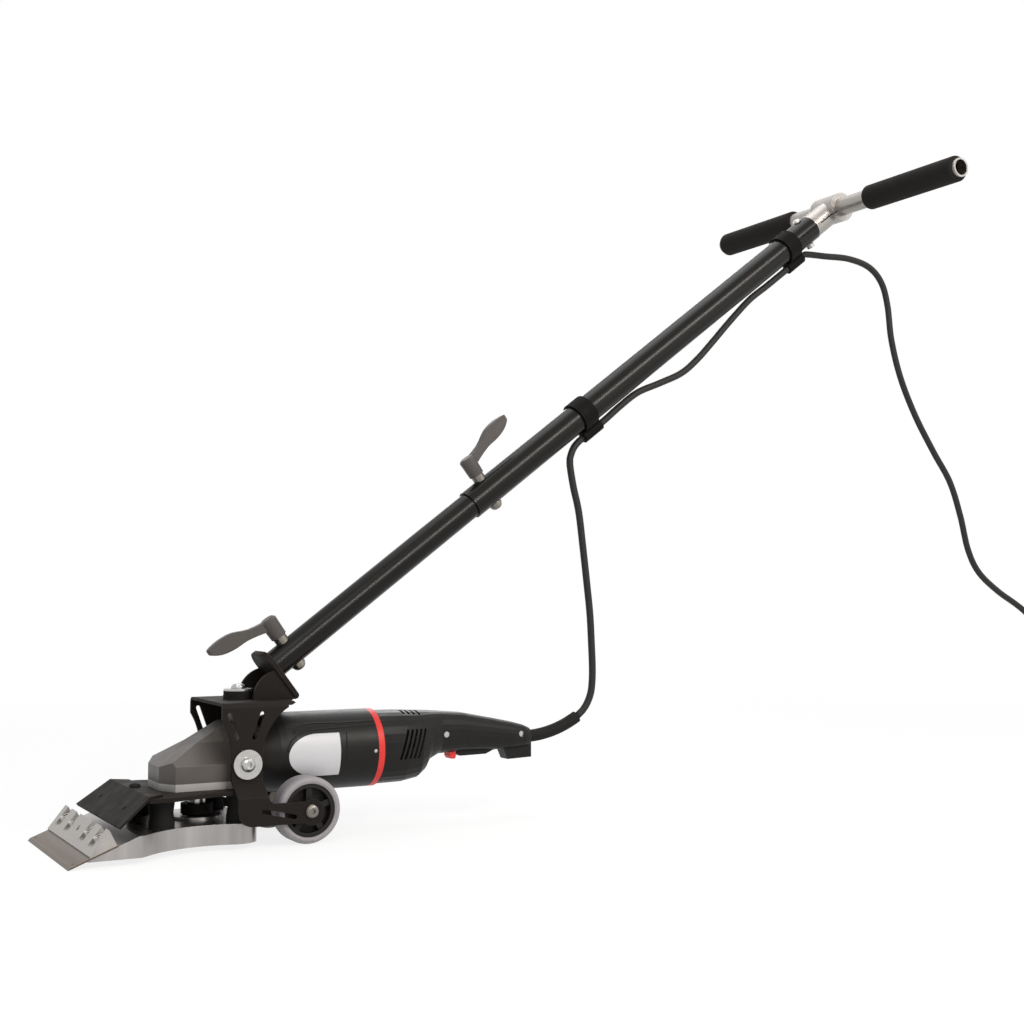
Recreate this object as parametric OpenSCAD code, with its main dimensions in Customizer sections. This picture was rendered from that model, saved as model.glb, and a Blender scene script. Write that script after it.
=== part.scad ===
// Long-handled power scraper. A grinder-type motor unit drives a scraper arm through an eccentric.
// A bent bracket carries it on two wheels, and a telescoping pole ends in a crossbar with two grips.
// Millimetres, +Z up, +X from blade to crossbar. Values along X are measured from the blade tip.

/* [Overall] */
// height of the motor axis over the floor
motor_z = 81.8; // [80:0.1:84]
// spindle axis behind the blade tip
spindle_x = 140; // [138:0.5:142]
// running clearance of a shaft in its bearing
run_clear = 0.05; // [0.02:0.01:0.1]

/* [Scraper head] */
// width of the blade
blade_width = 175; // [160:1:190]
// length of the blade along its slope
blade_length = 47; // [44:1:52]
// thickness of the blade
blade_thick = 1.5; // [1:0.1:2]
// slope of the blade
blade_angle = 21.5; // [20:0.5:23]
// depth of the ground edge
blade_bevel = 3; // [1:0.5:6]
// length of the clamp bar's foot along the slope
clamp_foot = 25; // [23:0.5:26]
// height of the clamp bar's back over the blade
clamp_height = 15.3; // [13:0.1:17]
// thickness of the clamp bar's nose
clamp_nose = 1.4; // [1:0.1:2]
// inner clamp screws from the middle
clamp_screw_in = 31; // [28:1:34]
// outer clamp screws from the middle
clamp_screw_out = 67; // [62:1:70]
// width of a screw pocket
pocket_width = 15; // [12:0.5:17]
// underside of the arm over the floor
arm_bottom = 5.5; // [4:0.5:7]
// thickness of the arm
arm_thick = 19; // [17:0.5:21]
// half width of the arm's front block
arm_half = 86; // [82:1:94]
// half width of the arm at its waist
arm_waist = 56.5; // [54:0.5:60]
// half width of the arm at its rear
arm_rear_half = 62; // [60:1:66]
// rear end of the arm
arm_rear = 184; // [182:1:188]
// offset of the eccentric
stroke = 1; // [0.5:0.1:1.2]
// free space round the eccentric in its bearing
eccentric_clear = 3; // [2.9:0.1:4]
// radius of the eccentric pin
eccentric_r = 10; // [8:0.5:10.5]
// radius of a rubber buffer
buffer_r = 12; // [10:0.5:13]
// buffers from the middle
buffer_y = 42; // [38:1:45]
// front buffers behind the blade tip
buffer_front = 94; // [91:1:97]
// rear buffers behind the blade tip
buffer_rear = 168; // [164:1:169]
// height of a rubber buffer
buffer_high = 25.5; // [24.5:0.5:26.5]
// thickness of the mount plate
plate_thick = 4; // [3.5:0.5:4.5]
// thickness of the guard sheet
guard_thick = 2.5; // [2:0.1:3]
// half width of the guard at its lower edge
guard_low_half = 84; // [78:1:90]
// half width of the guard at its bend
guard_high_half = 72; // [68:1:76]

/* [Motor unit] */
// radius of the motor barrel
barrel_r = 39.3; // [38.5:0.1:40.5]
// wall of the motor barrel
barrel_wall = 3; // [2.5:0.1:3.5]
// front of the motor barrel
barrel_front = 193; // [191:1:194]
// rear of the motor barrel
barrel_rear = 314.5; // [313:0.5:316]
// width of the coloured ring
ring_width = 6.5; // [5:0.5:8]
// half width of the gear housing
head_half = 38; // [36:0.5:40]
// front face of the gear housing
head_front = 97.6; // [96:0.1:100]
// height of the gear cover
cover_high = 7; // [6:0.5:7.5]
// height of the gear housing's upright band
band_high = 14.3; // [12:0.1:16]
// top of the gear housing
hood_top = 115; // [112:0.5:118]
// thickness of a gear tooth
tooth_thick = 1; // [0.8:0.1:1.1]
// thickness of the stator ring
stator_wall = 13.5; // [12:0.5:15]
// gap between armature and stator
air_gap = 0.8; // [0.5:0.1:1.2]
// length of the laminated core
core_length = 44; // [38:1:46]
// wall of the rear handle
handle_wall = 3; // [2.5:0.1:3.5]
// vent slots on each side
vent_count = 5; // [3:1:5]

/* [Bracket and wheels] */
// sheet thickness of the bracket
sheet = 3; // [2.5:0.5:4]
// room between the motor barrel and the upper arms
arm_room = 9.2; // [8:0.1:11]
// outward step of the wheel arms
joggle = 19; // [18:0.5:21]
// top of the bracket over the motor barrel
bracket_over = 14.9; // [13:0.1:17]
// side bolts behind the blade tip
bolt_x = 173; // [171:0.5:175]
// side bolts over the floor
bolt_z = 77.6; // [76:0.1:79]
// radius of the large washers
washer_r = 14; // [12:0.5:15]
// thickness of the large washers
washer_thick = 2; // [1.5:0.1:2.5]
// radius of a wheel
wheel_r = 32; // [31:0.5:33]
// width of a wheel
wheel_width = 25; // [22:0.5:26]
// axle behind the blade tip
axle_x = 231; // [229:1:233]
// depth of the tyre
tyre_depth = 6.5; // [6:0.5:9]
// radius of the damper discs
disc_r = 14.6; // [13:0.1:15.5]
// thickness of a damper disc
disc_thick = 4; // [3:0.5:5]
// damper screw behind the blade tip
disc_x = 180.4; // [178:0.1:183]

/* [Pole] */
// slope of the pole
pole_angle = 37; // [36:0.5:38]
// pole axis behind the blade tip at its foot
pole_x = 219.5; // [218:0.5:221]
// pole axis over the bracket at its foot
pole_lift = 33.6; // [32:0.1:35]
// outside radius of the lower tube
lower_r = 14; // [13:0.5:15]
// wall of the lower tube
lower_wall = 1.5; // [1.2:0.1:2]
// sliding clearance between tubes
slide_clear = 0.1; // [0.05:0.01:0.1]
// wall of the upper tube
upper_wall = 1.8; // [1.5:0.1:2.2]
// foot of the upper tube along the pole
upper_start = 272; // [260:1:280]
// top of the upper tube along the pole
upper_end = 870; // [860:1:875]
// travel of the telescope
telescope = 180; // [120:10:200]
// upper clamp over its tube's foot
clamp_lift = 26.5; // [22:0.5:30]
// lower clamp over its tube's foot
low_clamp_lift = 18; // [16:0.5:22]
// length of the spigot in the lower tube
spigot = 60; // [50:1:70]
// length of a clamp lever
lever_length = 68; // [60:1:74]
// top of a clamp lever over its bush
lever_rise = 35; // [30:1:38]

/* [Crossbar] */
// crossbar axis over the upper tube's end
bar_lift = 46; // [40:1:52]
// length of the crossbar
bar_length = 432; // [400:1:460]
// outside radius of the crossbar
bar_r = 11; // [10:0.5:12]
// bore radius of the crossbar
bar_bore = 9; // [8:0.5:9.5]
// radius of a foam grip
grip_r = 15; // [14:0.5:16]
// length of a foam grip
grip_length = 144; // [120:1:150]
// lower cable clip along the pole
clip_low_at = 449; // [440:1:460]
// upper cable clip under the upper tube's end
clip_high_drop = 48; // [44:1:55]
// width of a clip band
clip_width = 20; // [16:1:22]
// length of a clip's cable tube
clip_tube = 28; // [24:1:30]

/* [Hidden] */
$fn = 48;
e = 0.01;
screw_r = 4;
screw_clear = 0.4;
screw_hole = screw_r + screw_clear;
tee_r = 17.7;
bracket_top = motor_z + barrel_r + bracket_over;
pole_z = bracket_top + pole_lift;
// the frame's origin lies midway between blade tip and crossbar
bar_at = upper_end + bar_lift;
clip_high_at = upper_end - clip_high_drop;
bar_x = pole_x + bar_at * cos(pole_angle);
centre_x = (bar_x + tee_r) / 2;
// heights of the scraper head
arm_top = arm_bottom + arm_thick;
plate_bottom = arm_top + buffer_high;
plate_top = plate_bottom + plate_thick;
cover_top = plate_top + cover_high;
band_top = cover_top + band_high;
slope_run = arm_top / tan(blade_angle);
arm_front = 17;
arm_shoulder = 65;
arm_cut = 72;
arm_cut_half = arm_half - 6;
waist_x = 130;
waist_dip = arm_cut_half - arm_waist;
waist_r = (pow(waist_x - arm_cut, 2) + pow(waist_dip, 2)) / 2 / waist_dip;
arm_corner = 18;
bearing_bore = eccentric_r + eccentric_clear;
bearing_r = bearing_bore + 6;
bearing_low = arm_bottom + 3.5;
bearing_high = arm_top - 2.5;
boss_r = 24.7;
boss_high = 2.5;
hub_r = 15.3;
hub_bottom = arm_top + boss_high + 1.5;
hub_top = hub_bottom + 9.5;
clamp_screw_at = 37.5;
clamp_screw_r = 3;
clamp_head_r = 5;
clamp_head_high = 6;
pocket_floor = 6;
clamp_screw_deep = 8;
plate_hole = 11;
guard_bend_x = 74.5;
plate_front = guard_bend_x + 1;
plate_front_half = guard_high_half - 2;
plate_rear_half = 57;
plate_corner = 5;
guard_low_x = 44.5;
guard_low_z = 33;
guard_rear = 90;
guard_screw_x = 80;
guard_screw_r = 3;
guard_hole_x = 59;
guard_hole_y = 45;
guard_hole_r = 2;
// gear housing, gears and shafts
head_rear = barrel_front - 4;
plate_neck_gap = 1;
plate_rear = head_rear - plate_neck_gap;
nose_half = 19;
nose_run = 108;
hood_x = 164;
ridge_half = 16;
shoulder_half = ridge_half + 3;
shoulder_z = 97;
neck_r = barrel_r - 2.8;
fan_room = barrel_r - 8.3;
boss_side_r = 11;
boss_top_r = 10;
pinion_teeth = 8;
crown_teeth = 32;
pinion_pitch_r = 5;
spindle_r = 6;
flange_r = 8.5;
shaft_r = 4;
stub_r = 2.5;
tooth_high = 2.5;
pinion_tip = pinion_pitch_r + 1;
pinion_root = pinion_pitch_r - 1.3;
crown_pitch_r = pinion_pitch_r * crown_teeth / pinion_teeth;
crown_tip_z = motor_z - pinion_pitch_r + 1;
crown_top_z = crown_tip_z - tooth_high;
crown_low_z = crown_top_z - 7;
crown_in = crown_pitch_r - 1.5;
crown_out = crown_pitch_r + 3.5;
pinion_from = spindle_x + crown_pitch_r - 1;
pinion_to = spindle_x + crown_pitch_r + 3;
pinion_front = pinion_from - 2;
front_bearing_x = spindle_x + 29;
ring_rear = barrel_rear + ring_width;
rear_bearing_x = ring_rear - 15;
bearing_width = 9;
bearing_out = 11;
cover_bearing_r = 14;
top_bearing_z = motor_z - 1.8;
top_bearing_high = 7;
cavity_r = crown_out + 2;
pinion_room = 9.5;
shaft_room = 7;
fan_x = 206;
fan_r = fan_room - 4;
fan_thick = 12;
fan_wall = 1.5;
fan_blades = 12;
core_x = 228;
winding = 5;
stator_out = barrel_r - barrel_wall;
stator_in = stator_out - stator_wall;
core_r = stator_in - air_gap;
commutator_x = 283;
commutator_length = 16;
commutator_r = 13;
bars = 16;
brush_x = 287;
brush_size = 7;
brush_length = stator_out - commutator_r - 5.3;
brush_gap = 0.3;
ring_thick = 1.3;
dot_x = barrel_rear - 3.7;
dot_r = 1.7;
label_x = barrel_front + 57;
label_nose = 31;
label_rear = label_x + 23;
label_half = 20.75;
label_z = motor_z - 1;
label_thick = 0.5;
// bracket and wheels
arm_gap = barrel_r + arm_room;
arm_out = arm_gap + sheet;
wheel_arm_in = arm_gap + joggle;
wheel_arm_out = wheel_arm_in + sheet;
bracket_front = 148;
bracket_side_rear = 214;
bracket_rear = 236;
neck_half = 15;
neck_z = 84;
front_curve = 70;
rear_curve = 54;
arm_foot = 21.5;
arm_bar = 20;
arm_end_r = 12.5;
arm_fillet = 8;
joggle_top = 63;
joggle_low = 48;
bend_r = 6;
tab_half = 38;
tab_slant = 32;
slot_w = 4.5;
side_slot = 28;
side_slot_mid = 171.6;
side_slot_x = 12;
side_slot_z = 113.7;
side_slot_lean = 20;
wheel_slot = 36;
wheel_slot_x = 198.5;
wheel_slot_z = 31.5;
wheel_slot_lean = 13;
head_r = 7;
head_high = 4.5;
key_r = 2.7;
screw_grip = 13;
wheel_side = 1.3;
hub_side = 0.8;
wheel_y = wheel_arm_in - wheel_side - wheel_width / 2;
hub_bore = screw_r + run_clear;
rim_r = wheel_r - tyre_depth;
axle_nut = 6;
axle_length = wheel_arm_out - wheel_y + wheel_width / 2 + hub_side + 0.7 + axle_nut;
// socket and pole
flange_at = -6;
flange_thick = 5;
flange_up = 20;
flange_down = 31;
flange_half = 26;
flange_corner = 14;
cheek_y = 20;
cheek_thick = 4;
cheek_x = 217;
cheek_r = 29;
foot_thick = 4;
foot_front = 202;
socket_screw_x = 220;
socket_head_r = 6;
socket_nut_r = 7.2;
socket_nut_high = 6.5;
socket_washer = 1.6;
lower_bore = lower_r - lower_wall;
spigot_r = lower_bore - slide_clear;
upper_bore = lower_r + slide_clear;
upper_r = upper_bore + upper_wall;
high_clamp = upper_start + clamp_lift;
tube_overlap = 25;
lower_end = high_clamp + telescope + tube_overlap;
bush_r = 7;
bush_high = 6;
saddle = 3;
lever_hub_r = 9;
lever_hub_high = 19.5;
lever_w = 9.5;
lever_tip_w = 7;
tee_neck_r = 15.2;
tee_half = 20;
tee_plug = 42;
tee_slit = 1.2;
tee_slit_from = upper_end + 8;
tee_bolt_at = upper_end - 12;
tee_bolt_r = 3;
slit = 2;
grip_out = bar_length / 2 - 4;
grip_round = 3;
clip_wall = 2.5;
clip_web = 7;
// rear handle: x behind the ring, top and bottom over the motor axis, half width
handle_form = [[0, barrel_r - 2.1, 2 - barrel_r, barrel_r - 2.3],
    [29, barrel_r - 2.6, 2.5 - barrel_r, barrel_r - 4.3],
    [47, 35.7, -33.8, 31.5], [55, 35.4, -27.8, 28], [61, 35, -17.3, 25], [75, 34, -10.8, 20],
    [104, 31.2, -9.8, 18], [137, 24.7, -10.3, 17], [163, 19.2, -10.8, 16.5], [178, 15.2, -9.3, 15],
    [185, 12.2, -8.8, 12.5]];
handle_stations = [for (s = handle_form) [ring_rear + s[0], motor_z + s[1], motor_z + s[2], s[3]]];
handle_sides = 28;
handle_power = 2.5;
handle_end = ring_rear + 185;
rib = 3;
lug_front = handle_end - 27;
lug_rear = handle_end + 2;
lug_low = motor_z - 20.8;
lug_high = motor_z + 2.2;
lug_half = 8;
lug_slant = 6;
trigger_front = ring_rear + 98;
trigger_rear = trigger_front + 44;
trigger_half = 6.5;
trigger_low = motor_z - 14.3;
trigger_high = motor_z - 4.8;
trigger_pivot_x = trigger_front + 47;
trigger_pivot_z = motor_z - 5.8;
trigger_pin = 2;
trigger_pin_half = 12;
trigger_eye = 3.8;
side_gap = 0.6;
guide_gap = 0.3;
pocket_front = trigger_front - 14;
pocket_rear = trigger_pivot_x + 4.5;
pocket_top = motor_z + 4.2;
catch_front = trigger_front - 9;
catch_rear = trigger_front - 2;
catch_low = motor_z - 16.8;
catch_high = motor_z - 1.8;
catch_half = trigger_half + side_gap - guide_gap;
switch_front = trigger_front + 5;
switch_rear = trigger_front + 33;
switch_low = pocket_top;
switch_high = motor_z + 16.2;
switch_half = 9;
vent_pitch = 5.4;
vent_x = ring_rear + 24;
vent_w = 2.6;
vent_low = motor_z - 11.8;
vent_high = motor_z + 19.2;
top_vent_x = vent_x + 5;
top_vent_pitch = 6;
top_vent_z = motor_z + barrel_r - 13;
vent_lean = 18;
shell_screw_r = 2;
shell_head_r = 3.2;
// shell screws: x, z, half length under the head
shell_screw_at = [[ring_rear + 79, motor_z + 10.2, 17], [handle_end - 14, motor_z + 6.2, 12]];
// cord
cord_r = 4;
cord_sides = 10;
ring_step = 23;
clip_drop = upper_r + clip_wall + cord_r;
sleeve_bend = 31;
sleeve_arc = 129;
sleeve_x = handle_end - 2;
sleeve_z = motor_z + 1.7;
sleeve_r = 6.6;
collar_r = 8.6;
collar_deep = 8;
sleeve_end = [sleeve_x + sleeve_arc * sin(sleeve_bend), 0, sleeve_z + sleeve_arc * (1 - cos(sleeve_bend))];
coil_turns = 3;
coil_r = 64;
coil_pitch = 8.8;
coil_layer = 8.7;
coil_sides = 6;
coil_x = 1500;
coil_z = cord_r + 0.2;
coil_start = [coil_x, -coil_r, coil_z];
plug_r = 18;
plug_x = coil_x + 75;
plug_y = -60;
plug_z = plug_r + 0.2;
plug_length = 58;
plug_neck = 24;
pin_r = 2.4;
pin_length = 19;
pin_space = 19;

function pole_at(t, down) = [pole_x + t * cos(pole_angle) + down * sin(pole_angle), 0,
    pole_z + t * sin(pole_angle) - down * cos(pole_angle)];
pole_dir = [cos(pole_angle), 0, sin(pole_angle)];
clip_low_in = pole_at(clip_low_at - clip_tube / 2, clip_drop);
clip_low_out = pole_at(clip_low_at + clip_tube / 2, clip_drop);
clip_high_in = pole_at(clip_high_at - clip_tube / 2, clip_drop);
clip_high_out = pole_at(clip_high_at + clip_tube / 2, clip_drop);
route_lower = [sleeve_end, [579, 0, 108.5], [585.5, 0, 117.3], [589.8, 0, 127.7], [591.5, 0, 139],
    [592, 0, 155], [591, 0, 180], [589, 0, 215], [585, 0, 250], [580, 0, 290], [574.5, 0, 330],
    [567.5, 0, 358], [563, 0, 383.2], [564.2, 0, 393.1], [568.7, 0, 402.7], clip_low_in - 6 * pole_dir,
    clip_low_in];
route_middle = [clip_low_in, clip_low_out, clip_low_out + 10 * pole_dir, [631, 0, 453], [655, 0, 470],
    [686, 0, 483], [717, 0, 497], [740, 0, 515], [763, 0, 538], [790, 0, 566], [819, 0, 594],
    [845, 0, 613], clip_high_in - 10 * pole_dir, clip_high_in, clip_high_out];
route_tail = [clip_high_out, clip_high_out + 8 * pole_dir, [941, 0, 661], [979, 0, 662], [1013, 0, 655],
    [1034, 0, 637], [1044, 0, 608], [1050, 0, 564], [1065, 0, 516], [1090, 0, 468], [1121, 0, 423],
    [1150, 0, 384], [1168, 0, 340], [1181, 0, 296], [1200, 0, 266], [1235, 0, 241], [1285, 0, 214],
    [1322, -12, 175], [1357, -28, 122], [1390, -44, 70], [1424, -56, 30], [1459, -63, 6.5],
    coil_start - [12, 0, 0], coil_start];

// a smooth line through route points
function seg(p, i) = p[min(max(i, 0), len(p) - 1)];
function spline(a, b, c, d, t) = 0.5 * (2 * b + (c - a) * t + (2 * a - 5 * b + 4 * c - d) * t * t
    + (3 * b - a - 3 * c + d) * t * t * t);
function line(p) = concat([for (i = [0:len(p) - 2])
    let (n = max(1, round(norm(p[i + 1] - p[i]) / ring_step)))
    for (k = [0:n - 1]) spline(seg(p, i - 1), p[i], p[i + 1], seg(p, i + 2), k / n)], [p[len(p) - 1]]);
function smooth(p, n) = concat([for (i = [0:len(p) - 2]) for (k = [0:n - 1])
    spline(seg(p, i - 1), p[i], p[i + 1], seg(p, i + 2), k / n)], [p[len(p) - 1]]);
function unit(v) = v / norm(v);
function along(q, i) = unit(seg(q, i + 1) - seg(q, i - 1));
function tube_points(q, r, n, up) = [for (i = [0:len(q) - 1])
    let (d = along(q, i), s = unit(cross(d, up)), u = cross(d, s))
    for (k = [0:n - 1]) q[i] + r * (cos(360 * k / n) * s + sin(360 * k / n) * u)];
function tube_faces(m, n) = concat(
    [for (i = [0:m - 2]) for (k = [0:n - 1]) let (a = i * n + k, b = i * n + (k + 1) % n)
        each [[a, a + n, b], [b, a + n, b + n]]],
    [for (k = [1:n - 2]) [0, k, k + 1]],
    [for (k = [1:n - 2]) let (z = (m - 1) * n) [z, z + k + 1, z + k]]);

// coil: inwards on the floor, up in the half turn where it reverses, outwards on top, then to the plug
coil_in = coil_turns * 24;
coil_half = 12;
coil_out = coil_in - coil_half;
coil_rings = coil_in + coil_half + coil_out;
function coil_step(i) = i <= coil_in ? i / 24 : i <= coil_in + coil_half ?
    coil_turns + 0.5 * sin(180 * (i - coil_in) / coil_half) : coil_turns - (i - coil_in - coil_half) / 24;
function coil_rise(i) = i <= coil_in ? 0 : i <= coil_in + coil_half ?
    0.5 - 0.5 * cos(180 * (i - coil_in) / coil_half) : 1;
function coil_point(i) = let (a = -90 + 15 * i, r = coil_r - coil_pitch * coil_step(i))
    [coil_x + r * cos(a), r * sin(a), coil_z + coil_layer * coil_rise(i)];
coil_line = concat([for (i = [0:coil_rings]) coil_point(i)],
    [[coil_x + 20, plug_y, coil_z + coil_layer], [coil_x + 40, plug_y, plug_z - 3],
        [coil_x + 58, plug_y, plug_z], [plug_x, plug_y, plug_z]]);
coil_gap = min([for (i = [0:len(coil_line) - 1]) for (j = [i + 12:1:len(coil_line) - 1])
    norm(coil_line[i] - coil_line[j])]) - 2 * cord_r;
echo(coil_gap = coil_gap);

module put() { translate([-centre_x, 0, 0]) children(); }
module on_pole(t = 0) {
    translate([pole_x, 0, pole_z]) rotate([0, 90 - pole_angle, 0]) translate([0, 0, t]) children();
}
module on_blade() { rotate([0, -blade_angle, 0]) children(); }
// an outline in [radius, x] turned about the motor axis
module turned() { translate([0, 0, motor_z]) rotate([0, 90, 0]) rotate_extrude() children(); }
module rod(x, length, r) { translate([x, 0, motor_z]) rotate([0, 90, 0]) cylinder(h = length, r = r); }
module across(y, length, r) { translate([0, y, 0]) rotate([-90, 0, 0]) cylinder(h = length, r = r); }
// a side outline in [x, z] drawn out across Y
module side_cut(half) { translate([0, half, 0]) rotate([90, 0, 0]) linear_extrude(2 * half) children(); }
module both() { for (s = [0, 1]) mirror([0, s, 0]) children(); }
module tube(route) {
    q = line(route);
    polyhedron(tube_points(q, cord_r, cord_sides, [0, 1, 0]), tube_faces(len(q), cord_sides), 4);
}
module rounded(x0, y0, x1, y1, r) {
    translate([x0 + r, y0]) square([x1 - x0 - 2 * r, y1 - y0]);
    translate([x0, y0 + r]) square([x1 - x0, y1 - y0 - 2 * r]);
    for (x = [x0 + r, x1 - r]) for (y = [y0 + r, y1 - r]) translate([x, y]) circle(r);
}
module slot2d(length, w) {
    translate([-length / 2 + w / 2, -w / 2]) square([length - w, w]);
    for (s = [-1, 1]) translate([s * (length - w) / 2, 0]) circle(w / 2);
}
module button(r, high) {
    rotate_extrude() polygon([[0, 0], [r, 0], [r, high * 0.35], [r * 0.86, high * 0.72],
        [r * 0.6, high], [0, high]]);
}
// a button-head screw, head foot at z = 0, shank downwards
module hex_screw(r, deep, hr, hh, key) {
    difference() {
        union() {
            button(hr, hh);
            translate([0, 0, -deep]) cylinder(h = deep + e, r = r);
        }
        translate([0, 0, hh * 0.4]) cylinder(h = hh, r = key, $fn = 6);
    }
}
module ring(high, r, bore) {
    difference() {
        cylinder(h = high, r = r);
        translate([0, 0, -1]) cylinder(h = high + 2, r = bore);
    }
}

module head_plan() {
    polygon([[head_front, -nose_half], [head_front, nose_half], [nose_run, head_half],
        [head_rear, head_half], [head_rear, -head_half], [nose_run, -head_half]]);
}

module gear_housing() color("#77716a") put() difference() {
    union() {
        translate([0, 0, cover_top]) linear_extrude(band_high) head_plan();
        intersection() {
            translate([0, 0, cover_top]) linear_extrude(hood_top) head_plan();
            side_cut(head_half) polygon([[head_front, cover_top], [head_front, band_top + 1],
                [hood_x, hood_top], [head_rear, hood_top], [head_rear, cover_top]]);
            translate([head_front, 0, 0]) rotate([90, 0, 90]) linear_extrude(head_rear - head_front)
                polygon([[-head_half, cover_top], [head_half, cover_top], [head_half, band_top + 2],
                    [shoulder_half, shoulder_z], [ridge_half, hood_top], [-ridge_half, hood_top],
                    [-shoulder_half, shoulder_z], [-head_half, band_top + 2]]);
        }
        rod(head_rear, barrel_front - head_rear, neck_r);
        translate([bolt_x, 0, bolt_z]) across(-arm_gap, 2 * arm_gap, boss_side_r);
        translate([disc_x, 0, hood_top - 15])
            cylinder(h = bracket_top - sheet - hood_top + 15, r = boss_top_r);
    }
    translate([spindle_x, 0, cover_top - 1]) cylinder(h = top_bearing_z - 0.5 - cover_top, r = cavity_r);
    translate([spindle_x, 0, cover_top])
        cylinder(h = top_bearing_z + top_bearing_high - cover_top, r = bearing_out);
    rod(pinion_front - 2, front_bearing_x - pinion_front + 2 + e, pinion_room);
    rod(front_bearing_x, bearing_width, bearing_out);
    rod(front_bearing_x, barrel_front - front_bearing_x + 1, shaft_room);
    rod(barrel_front - 14, 20, fan_room);
    translate([bolt_x, 0, bolt_z]) both() across(arm_gap - screw_grip - 1, 20, screw_r);
    translate([disc_x, 0, bracket_top - sheet - screw_grip - 1]) cylinder(h = 30, r = screw_r);
}
module gear_cover() color("#aaa49d") put() difference() {
    translate([0, 0, plate_top]) linear_extrude(cover_high) head_plan();
    translate([spindle_x, 0, plate_top - 1]) cylinder(h = cover_high + 2, r = cover_bearing_r);
}
module motor_housing() color("#22211f") put() difference() {
    union() {
        turned() polygon([[fan_room, barrel_front], [barrel_r - 5.3, barrel_front],
            [barrel_r - 2.8, barrel_front + 10], [barrel_r - 0.7, barrel_front + 19],
            [barrel_r, barrel_front + 26], [barrel_r, barrel_rear],
            [barrel_r - ring_thick, barrel_rear], [barrel_r - ring_thick, ring_rear],
            [stator_out, ring_rear], [stator_out, barrel_front + 22], [fan_room, barrel_front + 16]]);
        difference() {
            rod(rear_bearing_x, bearing_width, stator_out + 0.5);
            rod(rear_bearing_x - 1, bearing_width + 2, bearing_out);
            translate([0, 0, motor_z]) for (k = [0:3]) rotate([45 + 90 * k, 0, 0])
                translate([rear_bearing_x - 1, 0, 24]) rotate([0, 90, 0]) cylinder(h = 20, r = 8);
        }
    }
    both() translate([dot_x, barrel_r - 6, motor_z]) across(0, 10, dot_r);
}
module accent_ring() color("#c0241f") put() turned() polygon([[barrel_r - ring_thick, barrel_rear],
    [barrel_r, barrel_rear], [barrel_r, ring_rear], [barrel_r - ring_thick, ring_rear]]);

// the rear handle's rounded section, carried through its stations
function section(s, inset) = let (h = (s[1] - s[2]) / 2 - inset, w = s[3] - inset, z = (s[1] + s[2]) / 2)
    [for (k = [0:handle_sides - 1]) let (a = 360 * (k + 0.5) / handle_sides, c = cos(a), n = sin(a))
        [s[0], w * sign(c) * pow(abs(c), 2 / handle_power), z + h * sign(n) * pow(abs(n), 2 / handle_power)]];
module lofted(stations, inset) {
    n = handle_sides;
    m = len(stations);
    polyhedron([for (s = stations) each section(s, inset)],
        concat([for (i = [0:m - 2]) for (k = [0:n - 1]) let (a = i * n + k, b = i * n + (k + 1) % n)
                each [[a, a + n, b], [b, a + n, b + n]]],
            [[for (k = [0:n - 1]) k]], [[for (k = [0:n - 1]) m * n - 1 - k]]), 4);
}
module switch_box() {
    translate([switch_front, -switch_half, switch_low])
        cube([switch_rear - switch_front, 2 * switch_half, switch_high - switch_low]);
}
module shell_screw_set(clear) {
    for (p = shell_screw_at) translate([p[0], 0, p[1]]) {
        across(-p[2] - 1, 2 * p[2] + 1, shell_screw_r);
        across(-p[2] - clear, clear, shell_head_r);
    }
}
module handle_body() difference() {
    union() {
        lofted(handle_stations, 0);
        side_cut(lug_half) polygon([[lug_front - lug_slant, lug_low + 13], [lug_front, lug_low],
            [lug_rear, lug_low + 1], [lug_rear, lug_high], [lug_front - lug_slant, lug_high]]);
    }
    difference() {
        lofted([for (i = [0:len(handle_stations) - 3]) let (s = handle_stations[i])
            [s[0] - (i == 0 ? 1 : 0), s[1], s[2], s[3]]], handle_wall);
        translate([switch_front - rib, -30, switch_low - rib])
            cube([switch_rear - switch_front + 2 * rib, 60, switch_high - switch_low + 2 * rib]);
    }
    switch_box();
    translate([pocket_front, -trigger_half - side_gap, lug_low])
        cube([pocket_rear - pocket_front, 2 * (trigger_half + side_gap), pocket_top - lug_low]);
    translate([handle_end - collar_deep, 0, sleeve_z]) rotate([0, 90, 0]) cylinder(h = 20, r = collar_r);
    translate([trigger_pivot_x, 0, trigger_pivot_z])
        across(-trigger_pin_half - guide_gap, 2 * (trigger_pin_half + guide_gap), trigger_pin);
    both() for (k = [0:vent_count - 1])
        translate([vent_x + k * vent_pitch, 0, (vent_low + vent_high) / 2]) rotate([0, vent_lean, 0])
            translate([-vent_w / 2, 20, (vent_low - vent_high) / 2]) cube([vent_w, 30, vent_high - vent_low]);
    both() for (k = [0:3]) translate([top_vent_x + k * top_vent_pitch, 4, top_vent_z])
        cube([vent_w, 14, barrel_r]);
    shell_screw_set(20);
}
module handle_half(y) intersection() {
    handle_body();
    translate([ring_rear - 1, y, 0]) cube([lug_rear - ring_rear + 2, 2 * barrel_r, motor_z + 2 * barrel_r]);
}
module handle_shell_left() color("#211f1d") put() handle_half(0);
module handle_shell_right() color("#211f1d") put() handle_half(-2 * barrel_r);
module trigger() color("#191817") put() {
    side_cut(trigger_half) polygon([[trigger_front, trigger_low + 2], [trigger_front + 3, trigger_low],
        [trigger_rear - 10, trigger_low + 0.5], [trigger_rear - 2, trigger_low + 4],
        [trigger_pivot_x, trigger_pivot_z - 3.5], [trigger_pivot_x, trigger_pivot_z + 3.5],
        [trigger_front + 6, trigger_high], [trigger_front, trigger_high - 2]]);
    translate([trigger_pivot_x, 0, trigger_pivot_z]) {
        across(-trigger_half, 2 * trigger_half, trigger_eye);
        across(-trigger_pin_half, 2 * trigger_pin_half, trigger_pin - run_clear);
    }
}
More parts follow.
